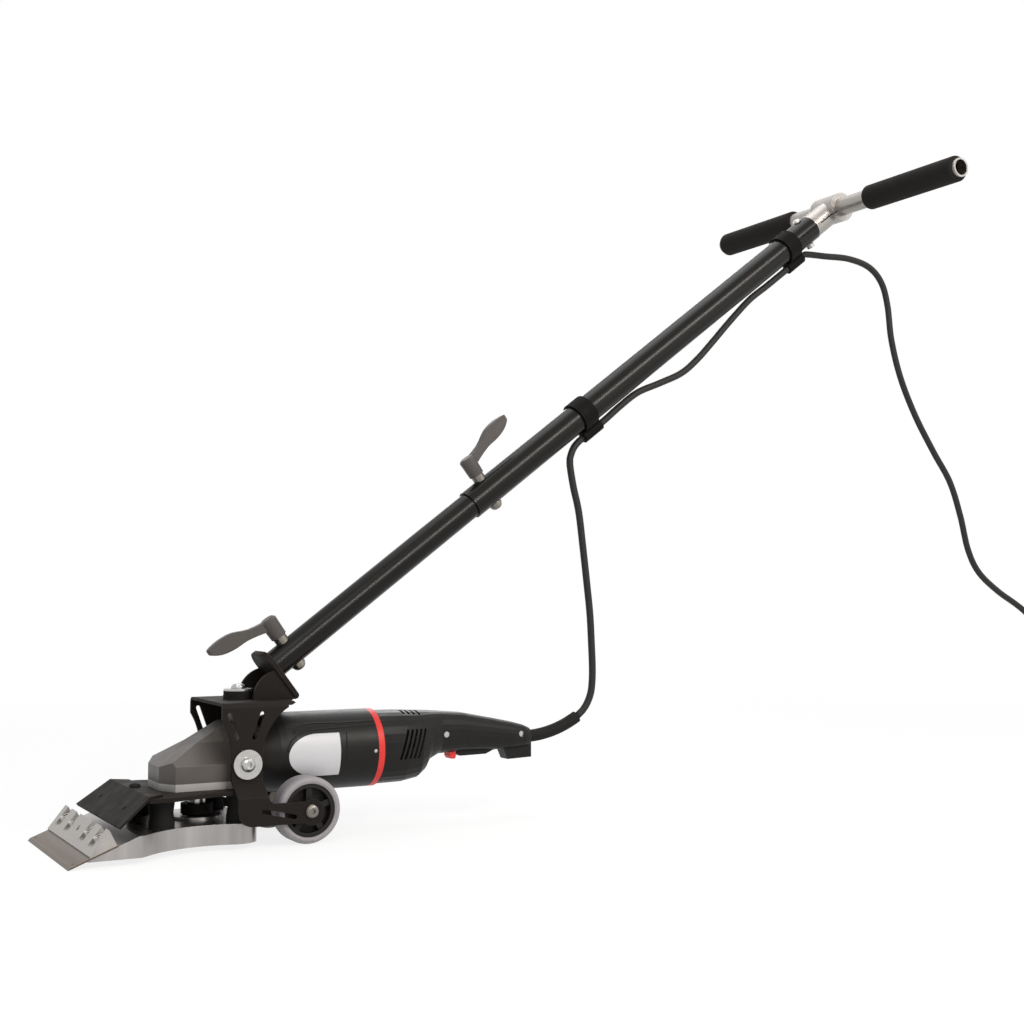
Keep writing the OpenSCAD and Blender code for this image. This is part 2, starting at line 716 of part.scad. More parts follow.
module lock_catch() color("#b8231f") put() side_cut(catch_half) polygon([[catch_front, catch_low + 3],
    [catch_front + 2, catch_low], [catch_rear - 1, catch_low], [catch_rear, catch_low + 2],
    [catch_rear, catch_high], [catch_front, catch_high]]);
module shell_screws() color("#8d8c8a") put() {
    shell_screw_set(2);
    both() translate([dot_x, barrel_r - 6, motor_z]) across(0, 6, dot_r);
}
module cord_sleeve() color("#1b1a19") put() {
    translate([sleeve_x, 0, sleeve_z + sleeve_arc]) rotate([90, 0, 0]) rotate([0, 0, -90])
        rotate_extrude(angle = sleeve_bend) translate([sleeve_arc, 0]) circle(sleeve_r);
    translate([handle_end - collar_deep, 0, sleeve_z]) rotate([0, 90, 0])
        cylinder(h = collar_deep + 2, r = collar_r);
}
module label_plate() color("#d8d8d6") put() intersection() {
    turned() translate([barrel_r, label_x - label_nose - 1])
        square([label_thick, label_rear - label_x + label_nose + 2]);
    translate([0, -label_half, 0]) rotate([90, 0, 0]) linear_extrude(barrel_r)
        polygon(concat([[label_rear, label_z - label_half], [label_rear, label_z + label_half]],
            [for (a = [90:6:270]) [label_x + label_nose * cos(a), label_z + label_half * sin(a)]]));
}
module armature_shaft() color("#b7b7b5") put() {
    rod(pinion_front + 0.5, front_bearing_x - pinion_front, stub_r);
    rod(front_bearing_x - 1, rear_bearing_x + bearing_width - front_bearing_x, shaft_r);
}
module armature_core() color("#6e6d6b") put() difference() {
    union() {
        rod(core_x, core_length, core_r);
        rod(core_x - winding, core_length + 2 * winding, core_r - 4);
    }
    rod(core_x - winding - 1, core_length + 2 * winding + 2, shaft_r);
    translate([0, 0, motor_z]) for (k = [0:11]) rotate([k * 30, 0, 0])
        translate([core_x - 1, -1, core_r - 3]) cube([core_length + 2, 2, 4]);
}
module commutator() color("#b06f3d") put() difference() {
    rod(commutator_x, commutator_length, commutator_r);
    rod(commutator_x - 1, commutator_length + 2, shaft_r);
    translate([0, 0, motor_z]) for (k = [0:bars - 1]) rotate([k * 360 / bars, 0, 0])
        translate([commutator_x - 1, -0.4, commutator_r - 1]) cube([commutator_length + 2, 0.8, 2]);
}
module cooling_fan() color("#2c2b2a") put() difference() {
    union() {
        rod(fan_x, 2, fan_r);
        rod(fan_x, fan_thick, 9);
        translate([0, 0, motor_z]) for (k = [0:fan_blades - 1]) rotate([k * 360 / fan_blades, 0, 0])
            translate([fan_x, -fan_wall / 2, 8]) cube([fan_thick, fan_wall, fan_r - 9]);
    }
    rod(fan_x - 1, fan_thick + 2, shaft_r);
}
module drive_pinion() color("#8f8e8b") put() difference() {
    union() {
        rod(pinion_front, front_bearing_x - 1 - pinion_front, pinion_root);
        translate([0, 0, motor_z]) for (k = [0:pinion_teeth - 1])
            rotate([(k + 0.5) * 360 / pinion_teeth, 0, 0])
                translate([pinion_from, -tooth_thick / 2, pinion_root - 0.5])
                    cube([pinion_to - pinion_from, tooth_thick, pinion_tip - pinion_root + 0.5]);
    }
    rod(pinion_front + 0.5, 20, stub_r);
}
module stator() color("#55534f") put() difference() {
    union() {
        rod(core_x, core_length, stator_out);
        rod(core_x - winding, core_length + 2 * winding, stator_out - 5);
    }
    rod(core_x - winding - 1, core_length + 2 * winding + 2, stator_in);
}
module carbon_brushes() color("#3a3a3c") put() both() {
    difference() {
        translate([brush_x, commutator_r - 1, motor_z - brush_size / 2])
            cube([brush_size, brush_length, brush_size]);
        rod(commutator_x - 1, commutator_length + 2, commutator_r + brush_gap);
    }
    intersection() {
        rod(brush_x - 3, brush_size + 6, stator_out);
        difference() {
            translate([brush_x - 1.5, stator_out - 12, motor_z - brush_size / 2 - 1.5])
                cube([brush_size + 3, 20, brush_size + 3]);
            translate([brush_x, 0, motor_z - brush_size / 2])
                cube([brush_size, commutator_r - 1 + brush_length, brush_size]);
        }
    }
}
module shaft_bearings() color("#a5a4a2") put() {
    for (x = [front_bearing_x, rear_bearing_x]) difference() {
        rod(x, bearing_width, bearing_out);
        rod(x - 1, bearing_width + 2, shaft_r + run_clear);
    }
    translate([spindle_x, 0, plate_top]) ring(cover_high, cover_bearing_r, spindle_r + run_clear);
    translate([spindle_x, 0, top_bearing_z]) ring(top_bearing_high, bearing_out, spindle_r + run_clear);
}
module crown_gear() color("#8b8a87") put() translate([spindle_x, 0, 0]) difference() {
    union() {
        translate([0, 0, crown_low_z]) cylinder(h = crown_top_z - crown_low_z, r = crown_out);
        for (k = [0:crown_teeth - 1]) rotate([0, 0, k * 360 / crown_teeth])
            translate([crown_in, -tooth_thick / 2, crown_top_z - 0.5])
                cube([crown_out - crown_in - 0.2, tooth_thick, tooth_high + 0.5]);
    }
    translate([0, 0, crown_low_z - 1]) cylinder(h = 20, r = spindle_r);
}
module spindle() color("#b9b8b5") put() translate([spindle_x, 0, 0]) {
    translate([0, 0, hub_bottom + 2])
        cylinder(h = top_bearing_z + top_bearing_high - hub_bottom - 2, r = spindle_r);
    translate([0, 0, hub_top]) cylinder(h = plate_top - 1 - hub_top, r = flange_r);
}
module switch_block() color("#3b3a38") put() switch_box();

module mount_plate() color("#2a2826") put() difference() {
    translate([0, 0, plate_bottom]) linear_extrude(plate_thick) polygon([
        [plate_front, -plate_front_half], [100, -plate_front_half], [spindle_x, -plate_rear_half],
        [plate_rear - plate_corner, -plate_rear_half], [plate_rear, plate_corner - plate_rear_half],
        [plate_rear, plate_rear_half - plate_corner], [plate_rear - plate_corner, plate_rear_half],
        [spindle_x, plate_rear_half], [100, plate_front_half], [plate_front, plate_front_half]]);
    translate([spindle_x, 0, plate_bottom - 1]) cylinder(h = 10, r = plate_hole);
    translate([guard_screw_x, 0, plate_bottom - 1]) cylinder(h = 10, r = guard_screw_r);
}
module rubber_buffers() color("#1c1b1a") put() {
    for (x = [buffer_front, buffer_rear]) for (s = [-1, 1]) translate([x, s * buffer_y, arm_top])
        rotate_extrude() polygon([[0, 0], [buffer_r, 0], [buffer_r, 3], [buffer_r - 1.2, buffer_high / 2],
            [buffer_r, buffer_high - 3], [buffer_r, buffer_high], [0, buffer_high]]);
}
module clamp_screw_places() {
    for (y = [clamp_screw_in, clamp_screw_out]) for (s = [-1, 1])
        translate([clamp_screw_at, s * y, 0]) children();
}
module scraper_arm() color("#b9b6b1") put() difference() {
    union() {
        intersection() {
            translate([0, 0, -1]) linear_extrude(60) difference() {
                union() {
                    polygon([[arm_front, -arm_half], [arm_shoulder, -arm_half], [arm_cut, -arm_cut_half],
                        [waist_x, -arm_cut_half], [waist_x, arm_cut_half], [arm_cut, arm_cut_half],
                        [arm_shoulder, arm_half], [arm_front, arm_half]]);
                    rounded(waist_x - 30, -arm_rear_half, arm_rear, arm_rear_half, arm_corner);
                }
                for (s = [-1, 1]) translate([waist_x, s * (arm_waist + waist_r)]) circle(waist_r, $fn = 96);
            }
            side_cut(arm_half + 1) polygon([[arm_front, arm_bottom], [arm_rear, arm_bottom],
                [arm_rear, arm_top], [slope_run, arm_top], [arm_front, arm_front * tan(blade_angle)]]);
        }
        translate([spindle_x, 0, arm_top - 1]) cylinder(h = boss_high + 1, r = boss_r);
    }
    translate([spindle_x, 0, arm_bottom - 1]) cylinder(h = bearing_high - arm_bottom + 1, r = bearing_r);
    translate([spindle_x, 0, arm_bottom]) cylinder(h = 60, r = bearing_bore + 1);
    on_blade() clamp_screw_places() translate([0, 0, -clamp_screw_deep]) cylinder(h = 20, r = clamp_screw_r);
}
module blade() color("#6d5f50") put() on_blade() difference() {
    side_cut(blade_width / 2) polygon([[0, 0], [blade_length, 0], [blade_length, blade_thick],
        [blade_bevel, blade_thick], [0, 0.15]]);
    clamp_screw_places() translate([0, 0, -5]) cylinder(h = 20, r = clamp_screw_r + screw_clear);
    for (s = [-1, 1]) translate([7, s * (blade_width / 2 - 9), -5]) cylinder(h = 20, r = 1.3);
}
module blade_clamp() color("#c3beb9") put() on_blade() difference() {
    translate([blade_length - 1 - clamp_foot, 0, blade_thick]) side_cut(blade_width / 2)
        polygon([[0, 0], [clamp_foot, 0], [clamp_foot - 1.4, clamp_height], [0, clamp_nose]]);
    clamp_screw_places() {
        cylinder(h = 20, r = clamp_screw_r + screw_clear);
        translate([-20, -pocket_width / 2, pocket_floor]) cube([40, pocket_width, 30]);
    }
    translate([clamp_screw_at - 3, 0, -1]) cylinder(h = 40, r = 2.6);
}
module clamp_screws() color("#9d9b98") put() on_blade() clamp_screw_places() difference() {
    union() {
        translate([0, 0, pocket_floor]) cylinder(h = clamp_head_high, r = clamp_head_r);
        translate([0, 0, 0.5 - clamp_screw_deep])
            cylinder(h = clamp_screw_deep + pocket_floor, r = clamp_screw_r);
    }
    translate([0, 0, pocket_floor + clamp_head_high - 3]) cylinder(h = 4, r = 2.9, $fn = 6);
}
module front_guard() color("#2d2a27") put() difference() {
    intersection() {
        side_cut(guard_low_half) polygon([[guard_low_x, guard_low_z], [guard_bend_x, plate_top + guard_thick],
            [guard_rear, plate_top + guard_thick], [guard_rear, plate_top], [plate_front, plate_top],
            [guard_low_x + 1.4, guard_low_z - guard_thick * 0.8]]);
        linear_extrude(2 * plate_top) polygon([[guard_low_x - 1, -guard_low_half],
            [guard_bend_x, -guard_high_half], [guard_rear, 12 - guard_high_half],
            [guard_rear, guard_high_half - 12], [guard_bend_x, guard_high_half],
            [guard_low_x - 1, guard_low_half]]);
    }
    for (s = [-1, 1]) translate([guard_hole_x, s * guard_hole_y, 30]) cylinder(h = 30, r = guard_hole_r);
    translate([guard_screw_x, 0, 40]) cylinder(h = 30, r = guard_screw_r);
}
module guard_screw() color("#262422") put() translate([guard_screw_x, 0, plate_top + guard_thick])
    hex_screw(guard_screw_r, guard_thick + plate_thick, 5.5, 3.6, 2.1);
module eccentric() color("#2b2a29") put() difference() {
    union() {
        translate([spindle_x, 0, hub_bottom]) cylinder(h = hub_top - hub_bottom, r = hub_r);
        translate([spindle_x + stroke, 0, bearing_low + 1])
            cylinder(h = hub_bottom - bearing_low, r = eccentric_r);
    }
    translate([spindle_x, 0, hub_bottom + 2]) cylinder(h = 30, r = spindle_r);
}
module eccentric_bearing() color("#a5a4a2") put() translate([spindle_x, 0, bearing_low])
    ring(bearing_high - bearing_low, bearing_r, bearing_bore);

// half of the bent bracket's cross-section in [y, z]
module bracket_half() difference() {
    union() {
        translate([0, bracket_top - sheet]) square([arm_out - bend_r, sheet]);
        translate([arm_out - bend_r, bracket_top - bend_r]) circle(bend_r);
        polygon([[arm_gap, bracket_top - bend_r], [arm_gap, joggle_top - 1], [wheel_arm_in, joggle_low - 1],
            [wheel_arm_in, 0], [wheel_arm_out, 0], [wheel_arm_out, joggle_low], [arm_out, joggle_top],
            [arm_out, bracket_top - bend_r]]);
    }
    translate([arm_out - bend_r, bracket_top - bend_r]) circle(bend_r - sheet);
    translate([arm_out - 2 * bend_r, bracket_top - 2 * bend_r]) square([2 * bend_r - sheet, bend_r]);
    translate([arm_out - 2 * bend_r, bracket_top - 2 * bend_r]) square([bend_r, 2 * bend_r - sheet]);
}
// the bracket's side outline in [x, z]
module bracket_side() {
    difference() {
        polygon([[bracket_front, bracket_top], [bracket_front, neck_z], [bracket_side_rear, neck_z],
            [bracket_side_rear, bracket_top - 4], [bracket_rear, bracket_top - 4],
            [bracket_rear, bracket_top]]);
        translate([bolt_x - neck_half - front_curve, neck_z]) circle(front_curve, $fn = 96);
        translate([bolt_x + neck_half + rear_curve, neck_z]) circle(rear_curve, $fn = 96);
    }
    translate([bolt_x - neck_half, arm_foot + neck_half])
        square([2 * neck_half, neck_z - arm_foot - neck_half + e]);
    translate([bolt_x, arm_foot + neck_half]) circle(neck_half);
    translate([bolt_x, arm_foot]) square([axle_x - bolt_x, arm_bar]);
    translate([axle_x, wheel_r - 1]) circle(arm_end_r);
    difference() {
        translate([bolt_x + neck_half - e, arm_foot + arm_bar - e]) square(arm_fillet);
        translate([bolt_x + neck_half + arm_fillet, arm_foot + arm_bar + arm_fillet]) circle(arm_fillet);
    }
}
module frame_bracket() color("#302d2a") put() difference() {
    intersection() {
        translate([bracket_front - 10, 0, 0]) rotate([90, 0, 90])
            linear_extrude(axle_x + arm_end_r - bracket_front + 20) {
            bracket_half();
            mirror([1, 0]) bracket_half();
        }
        side_cut(wheel_arm_out + 1) bracket_side();
    }
    both() translate([bracket_side_rear, tab_half, bracket_top - 2 * sheet]) rotate([0, 0, -tab_slant])
        cube([bracket_rear, tab_half, 4 * sheet]);
    both() translate([0, 80, 0]) rotate([90, 0, 0]) linear_extrude(60) {
        for (s = [-1, 1]) translate([side_slot_mid + s * side_slot_x, side_slot_z])
            rotate(90 - s * side_slot_lean) slot2d(side_slot, slot_w);
        translate([wheel_slot_x, wheel_slot_z]) rotate(-wheel_slot_lean) slot2d(wheel_slot, slot_w);
        translate([bolt_x, bolt_z]) circle(screw_hole);
        translate([axle_x, wheel_r]) circle(screw_r);
    }
    for (x = [disc_x, socket_screw_x]) translate([x, 0, bracket_top - 10]) cylinder(h = 20, r = screw_hole);
}
module side_bolts() {
    both() translate([bolt_x, arm_out, bolt_z]) rotate([-90, 0, 0]) children();
}
module bracket_screws() color("#bdbcb9") put() {
    side_bolts() translate([0, 0, washer_thick])
        hex_screw(screw_r, washer_thick + sheet + screw_grip, head_r, head_high, key_r);
    translate([disc_x, 0, bracket_top + 2 * disc_thick + washer_thick])
        hex_screw(screw_r, washer_thick + 2 * disc_thick + sheet + screw_grip, head_r, head_high, key_r);
}
module bracket_washers() color("#c9c8c5") put() {
    side_bolts() ring(washer_thick, washer_r, screw_hole);
    translate([disc_x, 0, bracket_top + 2 * disc_thick]) ring(washer_thick, washer_r, screw_hole);
}
module damper_discs() color("#1d1c1b") put() {
    for (k = [0, 1]) translate([disc_x, 0, bracket_top + k * disc_thick])
        ring(disc_thick, disc_r - 0.3 * k, screw_hole);
}
module handle_socket() color("#34312e") put() {
    on_pole(flange_at - flange_thick) linear_extrude(flange_thick)
        rounded(-flange_up, -flange_half, flange_down, flange_half, flange_corner);
    on_pole() difference() {
        translate([0, 0, flange_at - e]) cylinder(h = spigot - flange_at, r = spigot_r);
        translate([-20, -screw_hole, low_clamp_lift - screw_hole]) cube([40, 2 * screw_hole, spigot]);
    }
    difference() {
        union() {
            both() translate([0, cheek_y + cheek_thick, 0]) rotate([90, 0, 0]) linear_extrude(cheek_thick)
                translate([cheek_x, bracket_top]) circle(cheek_r, $fn = 72);
            translate([foot_front, -cheek_y - 1, bracket_top])
                cube([bracket_rear - foot_front, 2 * cheek_y + 2, foot_thick]);
        }
        translate([cheek_x - 60, -50, bracket_top - 60]) cube([120, 100, 60]);
        on_pole(flange_at - flange_thick / 2) translate([-80, -60, 0]) cube([160, 120, 80]);
        translate([socket_screw_x, 0, 100]) cylinder(h = 60, r = screw_hole);
    }
}
module socket_bolt() color("#c8b493") put() {
    translate([socket_screw_x, 0, bracket_top + foot_thick])
        hex_screw(screw_r, foot_thick + sheet + socket_washer + socket_nut_high, socket_head_r, 4,
            key_r - 0.2);
    translate([socket_screw_x, 0, bracket_top - sheet - socket_washer])
        cylinder(h = socket_washer, r = socket_nut_r + 0.8);
    translate([socket_screw_x, 0, bracket_top - sheet - socket_washer - socket_nut_high])
        cylinder(h = socket_nut_high + e, r = socket_nut_r, $fn = 6);
}

module cross_hole(r) { rotate([0, 90, 0]) translate([0, 0, -40]) cylinder(h = 80, r = r); }
module lower_tube() color("#3a3836") put() on_pole() difference() {
    translate([0, 0, flange_at]) cylinder(h = lower_end - flange_at, r = lower_r);
    translate([0, 0, flange_at - 1]) cylinder(h = lower_end - flange_at + 2, r = lower_bore);
    translate([0, 0, low_clamp_lift]) cross_hole(screw_hole);
    translate([-40, 0, high_clamp + telescope / 2]) rotate([90, 0, 90]) linear_extrude(80) rotate(90)
        slot2d(telescope + 2 * screw_hole, 2 * screw_hole);
}
module upper_tube() color("#403e3b") put() on_pole() difference() {
    translate([0, 0, upper_start]) cylinder(h = upper_end - upper_start, r = upper_r);
    translate([0, 0, upper_start - 1]) cylinder(h = upper_end, r = upper_bore);
    translate([0, 0, high_clamp]) cross_hole(screw_hole);
    translate([0, 0, tee_bolt_at]) cross_hole(tee_bolt_r);
}
// a clamp lever: hub over its bush, a curved paddle towards +z that thins to its tip
module lever_side() {
    l = lever_length;
    h = lever_rise;
    polygon(smooth([[0, h - 27], [l * 0.2, h - 22], [l * 0.43, h - 18], [l * 0.64, h - 17],
        [l * 0.84, h - 13.5], [l * 0.98, h - 7], [l, h - 3.5], [l * 0.96, h - 1], [l * 0.76, h],
        [l * 0.54, h - 2.5], [l * 0.3, h - 10.5], [0, h - 15]], 3));
}
module lever_body(seat) {
    translate([-seat - bush_high, 0, 0]) rotate([0, -90, 0]) difference() {
        union() {
            cylinder(h = lever_hub_high, r1 = lever_hub_r - 0.7, r2 = lever_hub_r);
            translate([0, 0, lever_hub_high]) cylinder(h = 2, r1 = lever_hub_r, r2 = lever_hub_r - 2.5);
            intersection() {
                side_cut(20) lever_side();
                linear_extrude(2 * lever_rise) {
                    polygon([[0, -lever_w / 2], [lever_length - 4, -lever_tip_w / 2],
                        [lever_length - 4, lever_tip_w / 2], [0, lever_w / 2]]);
                    translate([lever_length - 4, 0]) circle(lever_tip_w / 2);
                }
            }
        }
        translate([0, 0, -1]) cylinder(h = 12, r = screw_r + run_clear);
    }
}
// a clamp stud: saddle bush above the tube, washer and round head below it
module stud_body(seat) {
    rotate([0, -90, 0]) {
        translate([0, 0, -seat - 1]) cylinder(h = 2 * seat + 1 + bush_high + 10, r = screw_r);
        difference() {
            union() {
                translate([0, 0, seat - saddle]) cylinder(h = bush_high + saddle, r = bush_r);
                translate([0, 0, -seat - 1.6]) cylinder(h = 1.6 + saddle, r = bush_r + 0.5);
            }
            rotate([0, 90, 0]) cylinder(h = 40, r = seat, center = true);
        }
        mirror([0, 0, 1]) translate([0, 0, seat + 1.6]) button(6.6, 4.6);
    }
}
module lower_lever() color("#4b4846") put() on_pole(low_clamp_lift) rotate([180, 0, 0]) lever_body(lower_r);
module lower_stud() color("#bcbbb8") put() on_pole(low_clamp_lift) stud_body(lower_r);
module upper_lever() color("#4b4846") put() on_pole(high_clamp) lever_body(upper_r);
module upper_stud() color("#bcbbb8") put() on_pole(high_clamp) stud_body(upper_r);
module tee_connector() color("#b5b2ad") put() on_pole() difference() {
    union() {
        translate([0, 0, upper_end - tee_plug]) cylinder(h = tee_plug + e, r = upper_bore);
        translate([0, 0, upper_end]) cylinder(h = 3, r = upper_r);
        translate([0, 0, upper_end]) cylinder(h = bar_at - upper_end, r = tee_neck_r);
        translate([0, 0, bar_at]) across(-tee_half, 2 * tee_half, tee_r);
    }
    translate([0, 0, bar_at]) across(-tee_half - 5, 2 * tee_half + 10, bar_r);
    translate([-tee_slit / 2, -tee_half - 1, tee_slit_from])
        cube([tee_slit, 2 * tee_half + 2, bar_at - tee_slit_from]);
    translate([0, 0, tee_bolt_at]) cross_hole(tee_bolt_r);
    translate([0, 0, upper_end - tee_plug - 1]) cylinder(h = tee_plug - 6, r = 9);
}
module tee_bolt() color("#a9a7a4") put() on_pole(tee_bolt_at) rotate([0, -90, 0]) {
    translate([0, 0, -upper_r - e]) cylinder(h = 2 * upper_r + 2 * e, r = tee_bolt_r);
    translate([0, 0, upper_r]) button(5.2, 3.4);
    mirror([0, 0, 1]) translate([0, 0, upper_r]) cylinder(h = 4.5, r = 5.5, $fn = 6);
}
module handlebar() color("#c2c0bc") put() on_pole(bar_at) difference() {
    across(-bar_length / 2, bar_length, bar_r);
    across(-bar_length / 2 - 1, bar_length + 2, bar_bore);
}
module foam_grips() color("#1a1918") put() on_pole(bar_at) both() difference() {
    translate([0, grip_out - grip_length, 0]) rotate([-90, 0, 0]) rotate_extrude()
        polygon([[0, 0], [grip_r - grip_round, 0], [grip_r, grip_round], [grip_r, grip_length - grip_round],
            [grip_r - grip_round, grip_length], [0, grip_length]]);
    across(0, 300, bar_r);
}
module clip() difference() {
    union() {
        translate([0, 0, -clip_width / 2]) cylinder(h = clip_width, r = upper_r + clip_wall);
        translate([clip_drop, 0, -clip_tube / 2]) cylinder(h = clip_tube, r = cord_r + clip_wall);
        translate([0, -clip_web / 2, -clip_width / 2]) cube([clip_drop, clip_web, clip_width]);
    }
    translate([0, 0, -clip_tube]) cylinder(h = 2 * clip_tube, r = upper_r);
    translate([clip_drop, 0, -clip_tube]) cylinder(h = 2 * clip_tube, r = cord_r);
    translate([-40, -slit / 2, -clip_tube]) cube([40, slit, 2 * clip_tube]);
}
module cable_clips() color("#1f1e1d") put() for (t = [clip_low_at, clip_high_at]) on_pole(t) clip();

module wheel_at(s) { translate([axle_x, s * wheel_y, wheel_r]) rotate([90, 0, 0]) children(); }
module rim(s) wheel_at(s) difference() {
    half = wheel_width / 2;
    union() {
        rotate_extrude() polygon([[rim_r - 4, 2 - half], [rim_r, 2 - half], [rim_r, half - 2],
            [rim_r - 4, half - 2]]);
        rotate_extrude() polygon([[hub_bore, -half - hub_side], [9, -half - hub_side], [10, 0],
            [9, half + hub_side], [hub_bore, half + hub_side]]);
        cylinder(h = 4, r = rim_r - 2, center = true);
        for (k = [0:4]) rotate(72 * k + 18) translate([8, -3, 4 - half])
            cube([rim_r - 10, 6, wheel_width - 8]);
    }
    cylinder(h = 60, r = hub_bore, center = true);
}
module tyre(s) wheel_at(s) rotate_extrude() {
    half = wheel_width / 2;
    polygon([[rim_r, 1 - half], [rim_r + 2, -half], [wheel_r - 3.5, -half], [wheel_r - 1.2, 1.4 - half],
        [wheel_r, 4.5 - half], [wheel_r, half - 4.5], [wheel_r - 1.2, half - 1.4], [wheel_r - 3.5, half],
        [rim_r + 2, half], [rim_r, half - 1]]);
}
module wheel_rim_left() color("#232120") put() rim(1);
module wheel_tyre_left() color("#b0abac") put() tyre(1);
module wheel_rim_right() color("#232120") put() rim(-1);
module wheel_tyre_right() color("#b0abac") put() tyre(-1);
module axle_bolts() color("#b9b7b3") put() both() translate([axle_x, wheel_arm_out, wheel_r])
    rotate([-90, 0, 0]) {
        hex_screw(screw_r, axle_length, head_r - 0.5, 3.6, key_r - 0.2);
        translate([0, 0, -axle_length]) cylinder(h = axle_nut, r = 7, $fn = 6);
    }

module cord_lower() color("#2a2a2b") put() tube(route_lower);
module cord_middle() color("#2a2a2b") put() tube(route_middle);
module cord_tail() color("#2a2a2b") put() tube(route_tail);
module cord_coil() color("#2a2a2b") put() polyhedron(tube_points(coil_line, cord_r, coil_sides, [0, 0, 1]),
    tube_faces(len(coil_line), coil_sides), 4);
module mains_plug() color("#232324") put() translate([plug_x, plug_y, plug_z]) rotate([0, 90, 0]) {
    rotate_extrude() polygon([[0, 0], [cord_r + 2, 0], [cord_r + 4, plug_neck - 6], [plug_r - 3, plug_neck],
        [plug_r, plug_neck + 6], [plug_r, plug_length], [0, plug_length]]);
    for (s = [-1, 1]) translate([0, s * pin_space / 2, plug_length - e]) {
        cylinder(h = pin_length - 2, r = pin_r);
        translate([0, 0, pin_length - 2]) cylinder(h = 2, r1 = pin_r, r2 = pin_r - 1);
    }
}

gear_housing();
gear_cover();
motor_housing();
accent_ring();
handle_shell_left();
handle_shell_right();
trigger();
lock_catch();
shell_screws();
cord_sleeve();
label_plate();
armature_shaft();
armature_core();
commutator();
cooling_fan();
drive_pinion();
stator();
carbon_brushes();
shaft_bearings();
crown_gear();
spindle();
switch_block();
mount_plate();
rubber_buffers();
scraper_arm();
blade();
blade_clamp();
clamp_screws();
front_guard();
guard_screw();
eccentric();
eccentric_bearing();
frame_bracket();
bracket_screws();
bracket_washers();
damper_discs();
handle_socket();
socket_bolt();
lower_tube();
lower_lever();
lower_stud();
upper_tube();
upper_lever();
upper_stud();
tee_connector();
tee_bolt();
handlebar();
foam_grips();
cable_clips();
wheel_rim_left();
wheel_tyre_left();
wheel_rim_right();
wheel_tyre_right();
axle_bolts();
cord_lower();
cord_middle();
cord_tail();
cord_coil();
mains_plug();
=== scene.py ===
import math

import bmesh
import bpy
from mathutils import Matrix, Vector


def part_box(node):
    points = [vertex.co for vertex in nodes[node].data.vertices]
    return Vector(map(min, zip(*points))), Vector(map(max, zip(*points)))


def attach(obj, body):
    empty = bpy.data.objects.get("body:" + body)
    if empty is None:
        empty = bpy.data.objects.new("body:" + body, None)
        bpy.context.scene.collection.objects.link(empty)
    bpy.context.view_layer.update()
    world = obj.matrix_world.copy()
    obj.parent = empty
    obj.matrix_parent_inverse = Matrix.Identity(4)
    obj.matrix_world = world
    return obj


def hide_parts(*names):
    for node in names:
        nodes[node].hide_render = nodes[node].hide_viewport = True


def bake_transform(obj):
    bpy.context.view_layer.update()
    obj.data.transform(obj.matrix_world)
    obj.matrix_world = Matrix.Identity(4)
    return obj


# A long-handled power scraper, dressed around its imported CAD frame.
# Places in millimetres are measured from the blade tip, as in the part's source.
# at() brings them into the frame.

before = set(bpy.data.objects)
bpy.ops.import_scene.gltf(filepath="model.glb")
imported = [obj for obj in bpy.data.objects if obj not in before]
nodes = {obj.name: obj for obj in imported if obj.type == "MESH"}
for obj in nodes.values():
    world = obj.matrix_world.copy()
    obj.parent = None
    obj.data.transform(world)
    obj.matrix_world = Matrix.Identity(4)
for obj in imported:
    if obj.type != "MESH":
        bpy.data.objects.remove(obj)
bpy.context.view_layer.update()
scene = bpy.context.scene

MM = 0.001
TIP_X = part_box("blade")[0].x


def at(x, y, z):
    return Vector((TIP_X + x * MM, y * MM, z * MM))


# camera

CAMERA_AT = (-0.76930, -1.38012, 0.24330)
CAMERA_TILT = 93.047
CAMERA_TURN = -29.273
CAMERA_LENS = 50.98
CAMERA_SENSOR = 36
CAMERA_NEAR, CAMERA_FAR = 0.02, 60


def make_camera():
    data = bpy.data.cameras.new("camera")
    data.lens = CAMERA_LENS
    data.sensor_width = CAMERA_SENSOR
    data.clip_start = CAMERA_NEAR
    data.clip_end = CAMERA_FAR
    camera = bpy.data.objects.new("camera", data)
    camera.location = CAMERA_AT
    camera.rotation_euler = (math.radians(CAMERA_TILT), 0, math.radians(CAMERA_TURN))
    scene.collection.objects.link(camera)
    scene.camera = camera


make_camera()


# mesh helpers

TUBE_SIDES = 14
TURNED_SIDES = 64
# any way that no tube starts along
SWEEP_GUIDE = Vector((0, 1, 0.2))


def mesh_object(name, verts, faces, smooth=True):
    mesh = bpy.data.meshes.new(name)
    mesh.from_pydata([tuple(v) for v in verts], [], faces)
    form = bmesh.new()
    form.from_mesh(mesh)
    bmesh.ops.recalc_face_normals(form, faces=form.faces)
    form.to_mesh(mesh)
    form.free()
    if smooth:
        mesh.shade_smooth()
    piece = bpy.data.objects.new(name, mesh)
    scene.collection.objects.link(piece)
    return piece


def grid_faces(rings, sides, closed=False):
    faces = []
    for i in range(rings if closed else rings - 1):
        for k in range(sides):
            a, b = i * sides, (i + 1) % rings * sides
            faces.append((a + k, a + (k + 1) % sides, b + (k + 1) % sides, b + k))
    return faces


def swept_tube(name, path, radius, sides=TUBE_SIDES):
    """A round tube along path, with flat ends, turned as little as possible from ring to ring."""
    count = len(path)
    ways = [(path[min(i + 1, count - 1)] - path[max(i - 1, 0)]).normalized() for i in range(count)]
    side = ways[0].cross(SWEEP_GUIDE).normalized()
    verts = []
    for point, way in zip(path, ways):
        side = (side - way * side.dot(way)).normalized()
        up = way.cross(side)
        for k in range(sides):
            turn = 2 * math.pi * k / sides
            verts.append(point + radius * (math.cos(turn) * side + math.sin(turn) * up))
    faces = grid_faces(count, sides)
    faces += [tuple(reversed(range(sides))), tuple((count - 1) * sides + k for k in range(sides))]
    return mesh_object(name, verts, faces)


